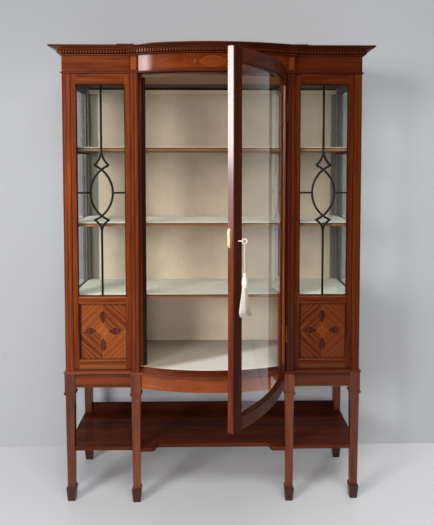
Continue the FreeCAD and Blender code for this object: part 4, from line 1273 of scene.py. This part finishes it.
def astragals(name, material):
    """The bars of both lights in one mesh."""
    points = []
    faces = []
    caps = []
    start = 0
    for middle in (-PANEL_MIDDLE_X, PANEL_MIDDLE_X):
        for line, width in bar_routes(middle):
            points.append(rounded_bar(line, width))
            faces.append(grid_faces(len(line), BAR_SIDES) + start)
            caps.append(end_caps(len(line), BAR_SIDES) + start)
            start += len(points[-1])
    return mesh_piece(name, np.concatenate(points), np.concatenate(faces), np.concatenate(caps), material)


astragal_bars = astragals("astragal_bars", nodes["glazing_bars"].data.materials[0])
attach(astragal_bars, "cabinet")
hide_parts("glazing_bars")


# Door stops: strips up the inside of the inner posts, close behind the shut door

STOP_WIDTH = 0.023
STOP_FRONT = -0.158
STOP_BACK = -0.143
STOP_ROUND = 0.006
STOP_SIDES = 9
STOP_LIT = 0.010


def stop_shade(tree, spot, colour):
    """Painted shade on the free half of a door stop."""
    free = abs(spot[0]).under(INNER_POST - STOP_LIT, soft=0.001)
    return lay(tree, colour, SHADE, free, share=0.92)


stop_wood = wood("mahogany_stop", "z", POST_TONES, inlay=stop_shade)


def door_stop(name, side):
    """A strip with one rounded edge: its section, a rectangle with a quarter circle at the free corner,
    is carried straight up from the floor to the ceiling."""
    turn = np.linspace(0, np.pi / 2, STOP_SIDES)
    inward = np.concatenate([[0], STOP_WIDTH - STOP_ROUND * (1 - np.sin(turn)), [STOP_WIDTH, 0]])
    rounded = STOP_FRONT + STOP_ROUND * (1 - np.cos(turn))
    deep = np.concatenate([[STOP_FRONT], rounded, [STOP_BACK, STOP_BACK]])
    section = np.stack([side * (INNER_POST - inward), deep], -1)
    count = len(section)
    points = np.stack([np.column_stack([section, np.full(count, z)]) for z in (FLOOR_TOP, CEILING_LOW)])
    return mesh_piece(name, points, grid_faces(2, count), end_caps(2, count), stop_wood, smooth=False)


for name, side in (("door_stop_left", -1), ("door_stop_right", 1)):
    stop = door_stop(name, side)
    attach(stop, "cabinet")


# Stage: a plain pale floor and backdrop, soft light from the front left

SPAN = 6.0
WALL_Y = 0.26
WALL_TOP = 4.0
NEAR_LAMPS_Y = -1.7
NEAR_LAMPS_SHADE = (0.42, 0.42, 0.42)
HIGH_UP = 1.65
HIGH_UP_SHADE = (0.80, 0.80, 0.80)


def plain_stage(name, corners, tones, roughness):
    """A flat sheet of the set, seen from its front only.

    Its colour runs slowly from left to right, lighter on the right as painted light; painted shade darkens it
    far in front, close to the lamps, and high up.
    """
    mesh = bpy.data.meshes.new(name)
    mesh.from_pydata(corners, [], [tuple(range(len(corners)))])
    material, tree, shader = new_material(name)
    x, y, z = places(tree)
    left, right = tones
    # Painted light lifting the right side
    colour = mix(tree, x.under(0.0, soft=0.9), right, left)
    # Painted shade close to the lamps
    colour = tinted(tree, colour, NEAR_LAMPS_SHADE, y.under(NEAR_LAMPS_Y, soft=1.2))
    # Painted shade high up
    colour = tinted(tree, colour, HIGH_UP_SHADE, z.over(HIGH_UP, soft=0.35))
    surface(tree, shader, colour, roughness)
    side = tree.nodes.new("ShaderNodeNewGeometry")
    clear = tree.nodes.new("ShaderNodeBsdfTransparent")
    two_shaders(tree, side.outputs["Backfacing"], shader.outputs[0], clear.outputs[0])
    mesh.materials.append(material)
    sheet = placed(name, mesh)


plain_stage("floor", [(-SPAN, -SPAN, 0), (SPAN, -SPAN, 0), (SPAN, SPAN, 0), (-SPAN, SPAN, 0)],
            tones=((0.72, 0.72, 0.735), (0.88, 0.88, 0.895)), roughness=0.35)
plain_stage("backdrop", [(-SPAN, WALL_Y, 0), (SPAN, WALL_Y, 0),
                         (SPAN, WALL_Y, WALL_TOP), (-SPAN, WALL_Y, WALL_TOP)],
            tones=((0.42, 0.424, 0.44), (0.50, 0.504, 0.515)), roughness=0.8)


def area_light(name, place, aim, size, power, mirrored=False):
    """A soft rectangular lamp that points at a place. Only a mirrored one shows in gloss and glass."""
    lamp = bpy.data.lights.new(name, "AREA")
    lamp.shape = "RECTANGLE"
    lamp.size, lamp.size_y = size
    lamp.energy = power
    piece = placed(name, lamp)
    piece.visible_glossy = mirrored
    piece.visible_transmission = mirrored
    direction = np.array(aim) - np.array(place)
    piece.location = place
    flat = math.hypot(direction[0], direction[1])
    piece.rotation_euler = (math.pi / 2 + math.atan2(direction[2], flat), 0.0,
                            math.atan2(direction[1], direction[0]) - math.pi / 2)
    return piece


area_light("window_left", place=(-2.85, -3.70, 1.97), aim=(0.0, 0.0, 1.0), size=(1.40, 1.40), power=130.0,
           mirrored=True)
area_light("window_low", place=(-2.85, -3.70, 0.95), aim=(0.0, 0.0, 0.6), size=(1.40, 0.70), power=11.0,
           mirrored=True)
glint = area_light("window_far", place=(-4.10, -3.70, 2.40), aim=(-0.25, -0.2, 1.66), size=(1.0, 1.0),
                   power=26.0, mirrored=True)
glint.visible_diffuse = False
area_light("soft_top", place=(0.3, -2.5, 3.4), aim=(0.0, -1.5, 0.0), size=(2.5, 1.5), power=76.0)
area_light("soft_front", place=(0.2, -4.2, 1.1), aim=(0.0, 0.0, 0.8), size=(1.6, 1.0), power=36.0)

world = bpy.data.worlds.new("studio")
bpy.context.scene.world = world
world.use_nodes = True
set_inputs(world.node_tree.nodes["Background"], Color=(0.93, 0.96, 1.0, 1.0), Strength=0.16)

CAMERA_DOWN = math.radians(2.917)
CAMERA_RIGHT = math.radians(1.058)
lens = bpy.data.cameras.new("camera")
lens.lens = 39.62
lens.sensor_width = 36.0
lens.shift_x = -0.0141
lens.shift_y = -0.1309
camera = placed("camera", lens)
camera.location = (0.0037, -2.3374, 1.2909)
camera.rotation_euler = (math.pi / 2 - CAMERA_DOWN, 0.0, -CAMERA_RIGHT)
bpy.context.scene.camera = camera
bpy.context.scene.view_settings.view_transform = "Standard"
